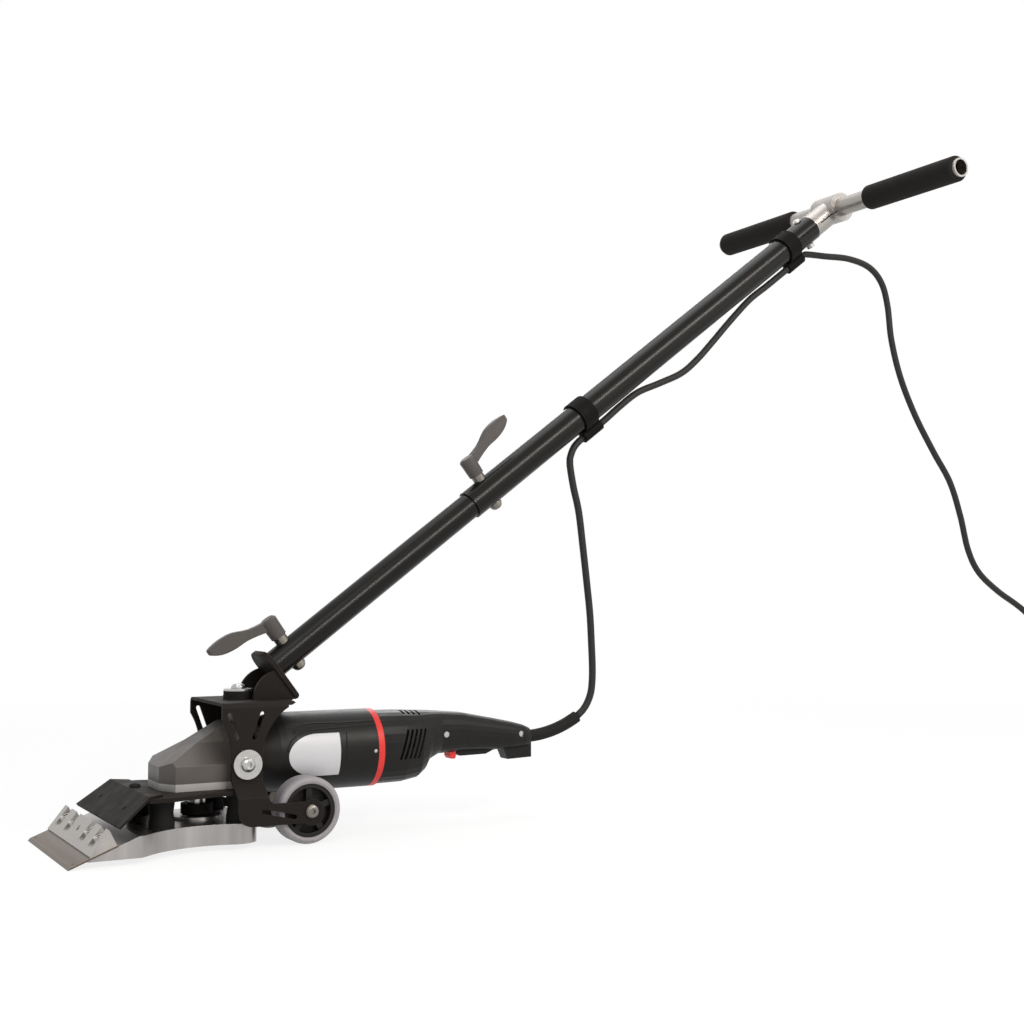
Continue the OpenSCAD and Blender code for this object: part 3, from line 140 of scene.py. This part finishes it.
def turned(name, outline, origin, axis, across, sides=TURNED_SIDES):
    """A closed outline of (along, radius) points, turned about an axis through origin."""
    other = axis.cross(across)
    verts = []
    for k in range(sides):
        turn = 2 * math.pi * k / sides
        out = math.cos(turn) * across + math.sin(turn) * other
        verts += [origin + axis * along + out * radius for along, radius in outline]
    return mesh_object(name, verts, grid_faces(sides, len(outline), closed=True))


def smooth_line(points, step):
    """A Catmull-Rom line through the points, in steps of about step."""
    line = []
    last = len(points) - 1
    for i in range(last):
        a, b, c, d = points[max(i - 1, 0)], points[i], points[i + 1], points[min(i + 2, last)]
        count = max(1, round((c - b).length / step))
        for k in range(count):
            t = k / count
            line.append(0.5 * (2 * b + (c - a) * t + (2 * a - 5 * b + 4 * c - d) * t ** 2
                               + (3 * b - a - 3 * c + d) * t ** 3))
    return line + [points[last]]


# pole and cord places, as in the part's source

POLE_SLOPE = math.radians(37)
POLE_FOOT_X, POLE_FOOT_Z = 219.5, 169.6
POLE_WAY = Vector((math.cos(POLE_SLOPE), 0, math.sin(POLE_SLOPE)))
POLE_UP = Vector((-math.sin(POLE_SLOPE), 0, math.cos(POLE_SLOPE)))
CORD_R = 4
CORD_STEP = 5
CLIP_DROP = 22.4
CLIP_HALF = 14
CLIP_LOW, CLIP_HIGH = 449, 822
SLEEVE_BEND = math.radians(31)
SLEEVE_ARC, SLEEVE_X, SLEEVE_Z = 129, 504, 83.5
# straight runs of the cord beside a clip: into the lower one, between the two and out of the upper one
LOW_RUN, BETWEEN_RUN, TAIL_RUN = 6, 10, 8


def on_pole(along, up=0, across=0):
    return at(POLE_FOOT_X, across, POLE_FOOT_Z) + (POLE_WAY * along + POLE_UP * up) * MM


def at_each(*places):
    return [at(*p) for p in places]


sleeve_end = at(SLEEVE_X + SLEEVE_ARC * math.sin(SLEEVE_BEND), 0,
                SLEEVE_Z + SLEEVE_ARC * (1 - math.cos(SLEEVE_BEND)))
low_in, low_out = (on_pole(CLIP_LOW + s * CLIP_HALF, -CLIP_DROP) for s in (-1, 1))
high_in, high_out = (on_pole(CLIP_HIGH + s * CLIP_HALF, -CLIP_DROP) for s in (-1, 1))

COIL_X, COIL_R, COIL_PITCH, COIL_LAYER, COIL_Z = 1500, 64, 8.8, 8.7, 4.2
COIL_TURNS, COIL_CLIMB = 3, 0.5
COIL_RING_STEP = 7.5
COIL_RUN = 12
PLUG_X, PLUG_Y, PLUG_Z = 1575, -60, 18.2

route_lower = [sleeve_end] + at_each(
    (579, 0, 108.5), (585.5, 0, 117.3), (589.8, 0, 127.7), (591.5, 0, 139), (592, 0, 155), (591, 0, 180),
    (589, 0, 215), (585, 0, 250), (580, 0, 290), (574.5, 0, 330), (567.5, 0, 358), (563, 0, 383.2),
    (564.2, 0, 393.1), (568.7, 0, 402.7)) + [low_in - POLE_WAY * LOW_RUN * MM, low_in]
route_middle = [low_in, low_out, low_out + POLE_WAY * BETWEEN_RUN * MM] + at_each(
    (631, 0, 453), (655, 0, 470), (686, 0, 483), (717, 0, 497), (740, 0, 515), (763, 0, 538),
    (790, 0, 566), (819, 0, 594), (845, 0, 613)) + [high_in - POLE_WAY * BETWEEN_RUN * MM, high_in, high_out]
route_tail = [high_out, high_out + POLE_WAY * TAIL_RUN * MM] + at_each(
    (941, 0, 661), (979, 0, 662), (1013, 0, 655), (1034, 0, 637), (1044, 0, 608), (1050, 0, 564),
    (1065, 0, 516), (1090, 0, 468), (1121, 0, 423), (1150, 0, 384), (1168, 0, 340), (1181, 0, 296),
    (1200, 0, 266), (1235, 0, 241), (1285, 0, 214), (1322, -12, 175), (1357, -28, 122), (1390, -44, 70),
    (1424, -56, 30), (1459, -63, 6.5), (COIL_X - COIL_RUN, -COIL_R, COIL_Z), (COIL_X, -COIL_R, COIL_Z))
route_plug = at_each(
    (COIL_X + 20, PLUG_Y, COIL_Z + COIL_LAYER), (COIL_X + 40, PLUG_Y, PLUG_Z - 3),
    (COIL_X + 58, PLUG_Y, PLUG_Z), (PLUG_X, PLUG_Y, PLUG_Z))


def coil_line():
    """Turns inwards on the floor, a climbing half turn, turns outwards on top, then the way to the plug."""
    outward = COIL_TURNS - COIL_CLIMB
    count = round((COIL_TURNS + COIL_CLIMB + outward) * 360 / COIL_RING_STEP)
    points = []
    for i in range(1, count + 1):
        turn = i * COIL_RING_STEP / 360
        climb = min(max((turn - COIL_TURNS) / COIL_CLIMB, 0), 1)
        if turn <= COIL_TURNS:
            inward = turn
        elif climb < 1:
            inward = COIL_TURNS + COIL_CLIMB * math.sin(math.pi * climb)
        else:
            inward = COIL_TURNS - (turn - COIL_TURNS - COIL_CLIMB)
        radius = COIL_R - COIL_PITCH * inward
        angle = 2 * math.pi * turn - math.pi / 2
        rise = COIL_LAYER * (0.5 - 0.5 * math.cos(math.pi * climb))
        points.append(at(COIL_X + radius * math.cos(angle), radius * math.sin(angle), COIL_Z + rise))
    return points + smooth_line(route_plug, CORD_STEP * MM)


TIE_HALF = 6
TIE_ROOM, TIE_THICK = 0.1, 0.8
TIE_ARC_STEPS = 6
TIE_FLOOR = 0.02
TIE_FIRST_TURN, TIE_LAST_TURN = 0.5, 2.5


def tie_outline(reach):
    """Away from the coil's middle and up: a belt around the bundle, reach from its four corner turns."""
    high = COIL_Z + COIL_LAYER
    first, last = COIL_R - COIL_PITCH * TIE_FIRST_TURN, COIL_R - COIL_PITCH * TIE_LAST_TURN
    corners = [(first, COIL_Z, -90), (first - COIL_PITCH / 2, high, 0), (last - COIL_PITCH / 2, high, 90),
               (last, COIL_Z, 180)]
    belt = []
    for out, up, start in corners:
        for k in range(TIE_ARC_STEPS + 1):
            turn = math.radians(start + 90 * k / TIE_ARC_STEPS)
            belt.append((out + reach * math.cos(turn), max(up + reach * math.sin(turn), TIE_FLOOR)))
    return belt


def make_tie():
    """A strap around the coil, on the side away from where the cord comes in."""
    inner = tie_outline(CORD_R + TIE_ROOM)
    outer = tie_outline(CORD_R + TIE_ROOM + TIE_THICK)
    belts = ((inner, -1), (outer, -1), (outer, 1), (inner, 1))
    verts = [at(COIL_X + side * TIE_HALF, out, up) for belt, side in belts for out, up in belt]
    faces = grid_faces(len(belts), len(inner), closed=True)
    piece = mesh_object("coil_tie", verts, faces, smooth=False)
    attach(piece, "frame")
    return piece


def make_cord(name, line, stands_for, exit, **facts):
    piece = swept_tube(name, line, CORD_R * MM)
    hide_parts(*stands_for)
    return piece


line_lower = smooth_line(route_lower, CORD_STEP * MM)
line_middle = smooth_line(route_middle, CORD_STEP * MM)
line_tail = smooth_line(route_tail, CORD_STEP * MM)
for point in line_tail:
    point.z = max(point.z, COIL_Z * MM)
line_tail += coil_line()
cord_lower = make_cord("lead_lower", line_lower, ["cord_lower"], sleeve_end,
                       far_end="object", lay="hanging")
cord_middle = make_cord("lead_middle", line_middle, ["cord_middle"], low_in,
                        far_end="object", lay="hanging")
coil_tie = make_tie()
cord_tail = make_cord("lead_tail", line_tail, ["cord_tail", "cord_coil"], high_out,
                      far_end="plug", lay="coiled", with_pieces=[nodes["mains_plug"], coil_tie])
# from here on the tail lies still while the pole moves
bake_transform(cord_lower)
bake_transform(cord_tail)
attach(cord_middle, "upper_pole")
cords = [cord_lower, cord_middle, cord_tail]


# foam grips

BAR_AT = 916
BAR_R = 11
GRIP_R = 15
GRIP_IN, GRIP_OUT = 68, 212
GRIP_ROUND = 3.5
GRIP_ROUND_STEPS = 5
GRIP_LENGTH_STEPS = 12


def grip_outline():
    """Along the bar and away from its axis: the sleeve's bore, its two rounded ends and its outside."""
    rounds = [math.pi / 2 * k / GRIP_ROUND_STEPS for k in range(GRIP_ROUND_STEPS + 1)]
    far = [(GRIP_OUT - GRIP_ROUND * (1 - math.cos(a)), GRIP_R - GRIP_ROUND * (1 - math.sin(a)))
           for a in rounds]
    near = [(GRIP_IN + GRIP_OUT - along, radius) for along, radius in reversed(far)]
    middle = [(GRIP_OUT + (GRIP_IN - GRIP_OUT) * k / GRIP_LENGTH_STEPS, GRIP_R)
              for k in range(1, GRIP_LENGTH_STEPS)]
    outline = [(GRIP_OUT, BAR_R)] + far + middle + near + [(GRIP_IN, BAR_R)]
    return [(along * MM, radius * MM) for along, radius in outline]


def make_grips():
    grips = []
    for name, way in (("grip_left", 1), ("grip_right", -1)):
        grip = turned(name, grip_outline(), on_pole(BAR_AT), Vector((0, way, 0)), POLE_UP * way)
        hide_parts("foam_grips")
        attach(grip, "upper_pole")
        grips.append(grip)
    return grips


grips = make_grips()


# raised lines moulded on the motor barrel, alike on both sides

BARREL_R, MOTOR_Z = 39.3, 81.8
MOULD_LINE_R = 0.8
MOULD_LINE_SIDES = 8
MOULD_LINE_STEP = 2
# along the barrel and up, in millimetres: around the label, above it and behind it
MOULD_LINES = {
    "around": ((218, 86), (220, 92), (224, 97), (234, 102.5), (248, 105), (266, 106), (290, 106.5),
               (313, 107.5)),
    "above": ((226, 102.5), (231, 107), (238, 110), (250, 111), (278, 110.5), (313, 111)),
    "behind": ((281, 101), (280, 89), (280, 74)),
}


def on_barrel(x, z, side):
    return at(x, side * math.sqrt(BARREL_R ** 2 - (z - MOTOR_Z) ** 2), z)


def make_mould_lines():
    lines = []
    for name, places in MOULD_LINES.items():
        for hand, side in (("right", -1), ("left", 1)):
            line = smooth_line([on_barrel(x, z, side) for x, z in places], MOULD_LINE_STEP * MM)
            piece = swept_tube(f"mould_line_{name}_{hand}", line, MOULD_LINE_R * MM, MOULD_LINE_SIDES)
            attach(piece, "frame")
            lines.append(piece)
    return lines


mould_lines = make_mould_lines()


# the socket's flange, over the plain one, with its foot down to the bracket

FLANGE_UP, FLANGE_DOWN, FLANGE_HALF = 20.2, 35.5, 26.2
FLANGE_TOP_CORNER, FLANGE_FOOT_CORNER = 14, 6
FLANGE_FRONT, FLANGE_BACK = -11.2, -5.8
FLANGE_EDGE = 0.8
FLANGE_CORNER_STEPS = 8


def flange_outline(inset):
    """Up along the flange and across it: large round corners above, small ones at the foot."""
    points = []
    for quarter, (up, across) in enumerate(((1, 1), (-1, 1), (-1, -1), (1, -1))):
        reach, corner = (FLANGE_UP, FLANGE_TOP_CORNER) if up > 0 else (FLANGE_DOWN, FLANGE_FOOT_CORNER)
        for k in range(FLANGE_CORNER_STEPS + 1):
            turn = math.pi / 2 * (quarter + k / FLANGE_CORNER_STEPS)
            points.append((up * (reach - corner) + (corner - inset) * math.cos(turn),
                           across * (FLANGE_HALF - corner) + (corner - inset) * math.sin(turn)))
    return points


def make_flange():
    levels = ((FLANGE_FRONT, FLANGE_EDGE), (FLANGE_FRONT + FLANGE_EDGE, 0), (FLANGE_BACK - FLANGE_EDGE, 0),
              (FLANGE_BACK, FLANGE_EDGE))
    verts = [on_pole(along, up, across) for along, inset in levels for up, across in flange_outline(inset)]
    sides = len(verts) // len(levels)
    faces = grid_faces(len(levels), sides)
    faces += [tuple(reversed(range(sides))), tuple(range(len(verts) - sides, len(verts)))]
    piece = mesh_object("socket_flange", verts, faces, smooth=False)
    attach(piece, "frame")
    return piece


flange = make_flange()


# materials

# colour sockets of a mix node
MIX_FIRST, MIX_SECOND, MIX_RESULT = 6, 7, 2
EDGE_SAMPLES = 4
EDGE_FLAT, EDGE_BENT = 0.99, 0.85
CLOUD_DETAIL, CLOUD_ROUGHNESS = 6, 0.6
CLOUD_LOW, CLOUD_HIGH = 0.3, 0.7
GRAIN_DETAIL = 3
LEAST_ROUGH = 0.03


def link(tree, a, b):
    tree.links.new(a, b)


def add(tree, kind, **values):
    node = tree.nodes.new(kind)
    for name, value in values.items():
        setattr(node, name, value)
    return node


def scaled(colour, factor):
    return tuple(min(1.0, c * factor) for c in colour) + (1,)


def bent_edge(tree, radius):
    """The normal with its edges rounded off, and how far that leans from the flat face."""
    rounded = add(tree, "ShaderNodeBevel", samples=EDGE_SAMPLES)
    rounded.inputs["Radius"].default_value = radius
    face = add(tree, "ShaderNodeNewGeometry")
    lean = add(tree, "ShaderNodeVectorMath", operation="DOT_PRODUCT")
    link(tree, rounded.outputs["Normal"], lean.inputs[0])
    link(tree, face.outputs["Normal"], lean.inputs[1])
    edge = add(tree, "ShaderNodeMapRange")
    edge.inputs["From Min"].default_value = EDGE_FLAT
    edge.inputs["From Max"].default_value = EDGE_BENT
    link(tree, lean.outputs["Value"], edge.inputs["Value"])
    return rounded.outputs["Normal"], edge.outputs["Result"]


def surface(name, colour, rough, metallic=0.0, specular=0.5, mottle_and_painted_reflection=0.15, mottle_scale=55.0, spread=0.08,
            grain=0.25, grain_scale=1400.0, grain_deep=0.0001, stretch=(1, 1, 1), edge=0.0005, wear=0.0,
            worn=(0.3, 0.28, 0.26), sheen=0.0):
    """A procedural finish: cloudy colour and gloss, a fine grain in the relief, softened and worn edges;
    where the clouds are strong and stretched, they paint bands of reflection into the colour.
    """
    material = bpy.data.materials.new(name)
    material.use_nodes = True
    tree = material.node_tree
    shader = tree.nodes["Principled BSDF"]
    shader.inputs["Metallic"].default_value = metallic
    shader.inputs["Specular IOR Level"].default_value = specular
    shader.inputs["Sheen Weight"].default_value = sheen
    place = add(tree, "ShaderNodeTexCoord")
    spread_out = add(tree, "ShaderNodeMapping")
    spread_out.inputs["Scale"].default_value = stretch
    link(tree, place.outputs["Object"], spread_out.inputs["Vector"])
    clouds = add(tree, "ShaderNodeTexNoise")
    clouds.inputs["Scale"].default_value = mottle_scale
    clouds.inputs["Detail"].default_value = CLOUD_DETAIL
    clouds.inputs["Roughness"].default_value = CLOUD_ROUGHNESS
    link(tree, spread_out.outputs["Vector"], clouds.inputs["Vector"])
    tint = add(tree, "ShaderNodeMix", data_type="RGBA")
    link(tree, clouds.outputs["Fac"], tint.inputs["Factor"])
    tint.inputs[MIX_FIRST].default_value = scaled(colour, 1 - mottle_and_painted_reflection)
    tint.inputs[MIX_SECOND].default_value = scaled(colour, 1 + mottle_and_painted_reflection)
    link(tree, tint.outputs[MIX_RESULT], shader.inputs["Base Color"])
    gloss = add(tree, "ShaderNodeMapRange")
    gloss.inputs["From Min"].default_value = CLOUD_LOW
    gloss.inputs["From Max"].default_value = CLOUD_HIGH
    gloss.inputs["To Min"].default_value = max(rough - spread, LEAST_ROUGH)
    gloss.inputs["To Max"].default_value = min(rough + spread, 1)
    link(tree, clouds.outputs["Fac"], gloss.inputs["Value"])
    link(tree, gloss.outputs["Result"], shader.inputs["Roughness"])
    fine = add(tree, "ShaderNodeTexNoise")
    fine.inputs["Scale"].default_value = grain_scale
    fine.inputs["Detail"].default_value = GRAIN_DETAIL
    link(tree, spread_out.outputs["Vector"], fine.inputs["Vector"])
    relief = add(tree, "ShaderNodeBump")
    relief.inputs["Strength"].default_value = grain
    relief.inputs["Distance"].default_value = grain_deep
    link(tree, fine.outputs["Fac"], relief.inputs["Height"])
    link(tree, relief.outputs["Normal"], shader.inputs["Normal"])
    if edge:
        rounded, leaning = bent_edge(tree, edge)
        link(tree, rounded, relief.inputs["Normal"])
        rubbed = add(tree, "ShaderNodeMath", operation="MULTIPLY")
        link(tree, leaning, rubbed.inputs[0])
        rubbed.inputs[1].default_value = wear
        bare = add(tree, "ShaderNodeMix", data_type="RGBA")
        link(tree, rubbed.outputs["Value"], bare.inputs["Factor"])
        link(tree, tint.outputs[MIX_RESULT], bare.inputs[MIX_FIRST])
        bare.inputs[MIX_SECOND].default_value = worn + (1,)
        link(tree, bare.outputs[MIX_RESULT], shader.inputs["Base Color"])
    return material


# texture stretched along X or across it
ALONG = (0.04, 1, 1)
ACROSS = (1, 0.04, 1)

cast_grey = surface("cast_grey", (0.088, 0.078, 0.071), 0.42, metallic=0.3, specular=0.3, grain=0.3,
                    grain_scale=900, wear=0.5, worn=(0.27, 0.24, 0.21))
cover_grey = surface("cover_grey", (0.36, 0.345, 0.325), 0.45, metallic=0.45, grain=0.3,
                     grain_scale=900, wear=0.3)
black_plastic = surface("black_plastic", (0.0095, 0.0090, 0.0085), 0.38, specular=0.15, grain=0.2,
                        grain_scale=2200, edge=0.0008, wear=0.25, worn=(0.04, 0.038, 0.036))
red_plastic = surface("red_plastic", (0.56, 0.035, 0.030), 0.4, specular=0.2, grain=0.1, mottle_and_painted_reflection=0.08)
label = surface("label", (0.47, 0.47, 0.485), 0.35, specular=0.3, mottle_and_painted_reflection=0.03, grain=0.05)
steel = surface("steel", (0.47, 0.46, 0.45), 0.3, metallic=1, mottle_and_painted_reflection=0.12, mottle_scale=220, grain=0.1,
                edge=0.0003)
blade_steel = surface("blade_steel", (0.112, 0.082, 0.056), 0.36, metallic=0.8, mottle_and_painted_reflection=0.2, stretch=ACROSS,
                      edge=0.0004, wear=0.8, worn=(0.42, 0.39, 0.36))
laminations = surface("laminations", (0.16, 0.155, 0.15), 0.4, metallic=0.8, stretch=(14, 1, 1))
copper = surface("copper", (0.50, 0.21, 0.09), 0.3, metallic=1)
carbon = surface("carbon", (0.035, 0.035, 0.037), 0.7, specular=0.3)
powder_black = surface("powder_black", (0.0125, 0.0102, 0.0090), 0.6, specular=0.08, grain=0.35,
                       grain_scale=1500, wear=0.4, worn=(0.10, 0.09, 0.08))
rubber = surface("rubber", (0.010, 0.0095, 0.009), 0.7, specular=0.12, grain=0.3, edge=0)
milled = surface("milled", (0.37, 0.35, 0.33), 0.40, metallic=1, mottle_and_painted_reflection=0.16, mottle_scale=240, grain=0.15,
                 stretch=ALONG)
# the arm's strong clouds, stretched to change only along X, are painted reflection: light and dark bands
# stand in for what the polished sides mirror, with some brushed streaking among them
arm_alloy_painted_reflection = surface("arm_alloy_painted_reflection", (0.35, 0.335, 0.325), 0.30, metallic=1, mottle_and_painted_reflection=0.62, mottle_scale=26,
                    grain=0.15, stretch=(1, 0.03, 0.03), wear=0.3, worn=(0.5, 0.48, 0.46))
clamp_alloy = surface("clamp_alloy", (0.38, 0.36, 0.34), 0.42, metallic=0.9, mottle_and_painted_reflection=0.2, grain=0.2, wear=0.4,
                      worn=(0.42, 0.40, 0.38))
dull_steel = surface("dull_steel", (0.20, 0.185, 0.165), 0.36, metallic=1, mottle_and_painted_reflection=0.2, mottle_scale=300,
                     edge=0.0003)
band_black = surface("band_black", (0.0045, 0.0042, 0.0040), 0.6, specular=0.06, grain=0.2, edge=0)
black_tube = surface("black_tube", (0.0040, 0.0034, 0.0029), 0.28, specular=0.19, mottle_and_painted_reflection=0.08, spread=0.02,
                     grain=0.015, grain_scale=500, edge=0)
lever_grey = surface("lever_grey", (0.066, 0.060, 0.056), 0.42, specular=0.2, grain=0.12, grain_scale=900,
                     edge=0.0018, wear=0.2, worn=(0.14, 0.13, 0.12))
foam = surface("foam", (0.0125, 0.0112, 0.0105), 0.85, specular=0.08, grain=0.35, grain_scale=700,
               grain_deep=0.0003, edge=0, sheen=0.03)
wheel_hub = surface("wheel_hub", (0.0125, 0.0110, 0.0100), 0.5, specular=0.18)
tyre_grey = surface("tyre_grey", (0.255, 0.240, 0.250), 0.55, specular=0.2, mottle_and_painted_reflection=0.08, grain=0.2)
zinc_beige = surface("zinc_beige", (0.50, 0.41, 0.28), 0.34, metallic=1, mottle_scale=300)
cord_black = surface("cord_black", (0.020, 0.0195, 0.019), 0.5, specular=0.15, grain=0.15, edge=0)
plug_black = surface("plug_black", (0.014, 0.014, 0.0145), 0.5, specular=0.18)

DRESS = {
    cast_grey: ["gear_housing"],
    cover_grey: ["gear_cover"],
    black_plastic: ["motor_housing", "handle_shell_left", "handle_shell_right", "trigger", "switch_block",
                    "cooling_fan"],
    band_black: ["cable_clips"],
    red_plastic: ["accent_ring", "lock_catch"],
    label: ["label_plate"],
    steel: ["shell_screws", "armature_shaft", "drive_pinion", "shaft_bearings", "crown_gear", "spindle",
            "clamp_screws", "eccentric_bearing", "bracket_screws", "bracket_washers", "tee_bolt"],
    dull_steel: ["lower_stud", "upper_stud", "axle_bolts"],
    blade_steel: ["blade"],
    laminations: ["armature_core", "stator"],
    copper: ["commutator"],
    carbon: ["carbon_brushes"],
    powder_black: ["mount_plate", "front_guard", "guard_screw", "eccentric", "frame_bracket",
                   "handle_socket"],
    rubber: ["rubber_buffers", "damper_discs", "cord_sleeve"],
    milled: ["tee_connector", "handlebar"],
    arm_alloy_painted_reflection: ["scraper_arm"],
    clamp_alloy: ["blade_clamp"],
    black_tube: ["lower_tube", "upper_tube"],
    lever_grey: ["lower_lever", "upper_lever"],
    wheel_hub: ["wheel_rim_left", "wheel_rim_right"],
    tyre_grey: ["wheel_tyre_left", "wheel_tyre_right"],
    zinc_beige: ["socket_bolt"],
    plug_black: ["mains_plug"],
}


def dress(piece, material):
    piece.data.materials.clear()
    piece.data.materials.append(material)


for finish, names in DRESS.items():
    for node_name in names:
        dress(nodes[node_name], finish)
for piece in cords:
    dress(piece, cord_black)
dress(coil_tie, rubber)
for piece in grips:
    dress(piece, foam)
for piece in mould_lines:
    dress(piece, black_plastic)
dress(flange, powder_black)


# stage and light

FLOOR_HALF = 12
FLOOR_WHITE = 0.8
FLOOR_COLOUR = (0.85, 0.85, 0.85, 1)
FLOOR_ROUGH, FLOOR_SPECULAR = 0.9, 0.1
FLOOR_FADE_FROM, FLOOR_FADE_TO = 0.7, 2.0
SKY_COLOUR = (0.95, 0.97, 1, 1)
SKY_STRENGTH = 0.55
WHITE = (1, 1, 1, 1)


def seen_directly(tree):
    """1 for rays from the camera, off gloss or through glass, which meet the white background."""
    path = add(tree, "ShaderNodeLightPath")
    first = add(tree, "ShaderNodeMath", operation="MAXIMUM")
    link(tree, path.outputs["Is Camera Ray"], first.inputs[0])
    link(tree, path.outputs["Is Glossy Ray"], first.inputs[1])
    second = add(tree, "ShaderNodeMath", operation="MAXIMUM")
    link(tree, first.outputs["Value"], second.inputs[0])
    link(tree, path.outputs["Is Transmission Ray"], second.inputs[1])
    return second.outputs["Value"]


def make_floor():
    """A pale floor that takes soft shadows near the tool and fades to white further off."""
    corners = [(x * FLOOR_HALF, y * FLOOR_HALF, 0) for x, y in ((-1, -1), (1, -1), (1, 1), (-1, 1))]
    floor = mesh_object("floor", corners, [(0, 1, 2, 3)], smooth=False)
    material = bpy.data.materials.new("floor")
    material.use_nodes = True
    tree = material.node_tree
    shader = tree.nodes["Principled BSDF"]
    shader.inputs["Base Color"].default_value = FLOOR_COLOUR
    shader.inputs["Roughness"].default_value = FLOOR_ROUGH
    shader.inputs["Specular IOR Level"].default_value = FLOOR_SPECULAR
    white = add(tree, "ShaderNodeEmission")
    place = add(tree, "ShaderNodeTexCoord")
    reach = add(tree, "ShaderNodeVectorMath", operation="LENGTH")
    link(tree, place.outputs["Object"], reach.inputs[0])
    fade = add(tree, "ShaderNodeMapRange")
    fade.inputs["From Min"].default_value = FLOOR_FADE_FROM
    fade.inputs["From Max"].default_value = FLOOR_FADE_TO
    fade.inputs["To Min"].default_value = FLOOR_WHITE
    link(tree, reach.outputs["Value"], fade.inputs["Value"])
    share = add(tree, "ShaderNodeMath", operation="MULTIPLY")
    link(tree, seen_directly(tree), share.inputs[0])
    link(tree, fade.outputs["Result"], share.inputs[1])
    mix = add(tree, "ShaderNodeMixShader")
    link(tree, share.outputs["Value"], mix.inputs["Fac"])
    link(tree, shader.outputs["BSDF"], mix.inputs[1])
    link(tree, white.outputs["Emission"], mix.inputs[2])
    link(tree, mix.outputs["Shader"], tree.nodes["Material Output"].inputs["Surface"])
    dress(floor, material)


def make_world():
    world = bpy.data.worlds.new("studio")
    scene.world = world
    world.use_nodes = True
    tree = world.node_tree
    tree.nodes.clear()
    soft = add(tree, "ShaderNodeBackground")
    soft.inputs["Color"].default_value = SKY_COLOUR
    soft.inputs["Strength"].default_value = SKY_STRENGTH
    white = add(tree, "ShaderNodeBackground")
    white.inputs["Color"].default_value = WHITE
    mix = add(tree, "ShaderNodeMixShader")
    link(tree, seen_directly(tree), mix.inputs["Fac"])
    link(tree, soft.outputs["Background"], mix.inputs[1])
    link(tree, white.outputs["Background"], mix.inputs[2])
    out = add(tree, "ShaderNodeOutputWorld")
    link(tree, mix.outputs["Shader"], out.inputs["Surface"])


# lamps: name, place, what it is aimed at, side in metres, watts
LAMPS = [
    ("key", (-1.3, -1.6, 1.9), (0, 0, 0.3), 1.2, 13),
    ("fill", (1.6, -1.5, 0.9), (0, 0, 0.3), 1.4, 4),
    ("top", (0.1, 0.4, 2.3), (0, 0, 0.3), 1.4, 14),
    ("rim", (0.9, 1.8, 1.3), (0, 0, 0.35), 1.0, 10),
]
# a long warm lamp beside the pole, whose reflection is the bright line along it
STRIP_AT, STRIP_AIM = (0.43, -1.56, 1.2), (0, 0, 0.42)
STRIP_LONG, STRIP_WIDE, STRIP_WATTS = 1.7, 0.22, 27
STRIP_COLOUR = (1, 0.93, 0.85)


def add_lamp(name, place, turn, watts, **form):
    data = bpy.data.lights.new(name, "AREA")
    for key, value in form.items():
        setattr(data, key, value)
    data.energy = watts
    lamp = bpy.data.objects.new(name, data)
    lamp.location = place
    lamp.rotation_euler = turn
    scene.collection.objects.link(lamp)


def make_lamps():
    for name, place, aim, size, watts in LAMPS:
        turn = (Vector(aim) - Vector(place)).to_track_quat("-Z", "Y").to_euler()
        add_lamp(name, place, turn, watts, size=size)
    back = (Vector(STRIP_AT) - Vector(STRIP_AIM)).normalized()
    along = (POLE_WAY - back * POLE_WAY.dot(back)).normalized()
    turn = Matrix((along, back.cross(along), back)).transposed().to_euler()
    add_lamp("strip", STRIP_AT, turn, STRIP_WATTS, color=STRIP_COLOUR,
             shape="RECTANGLE", size=STRIP_LONG, size_y=STRIP_WIDE)


make_floor()
make_world()
make_lamps()
scene.view_settings.view_transform = "Standard"
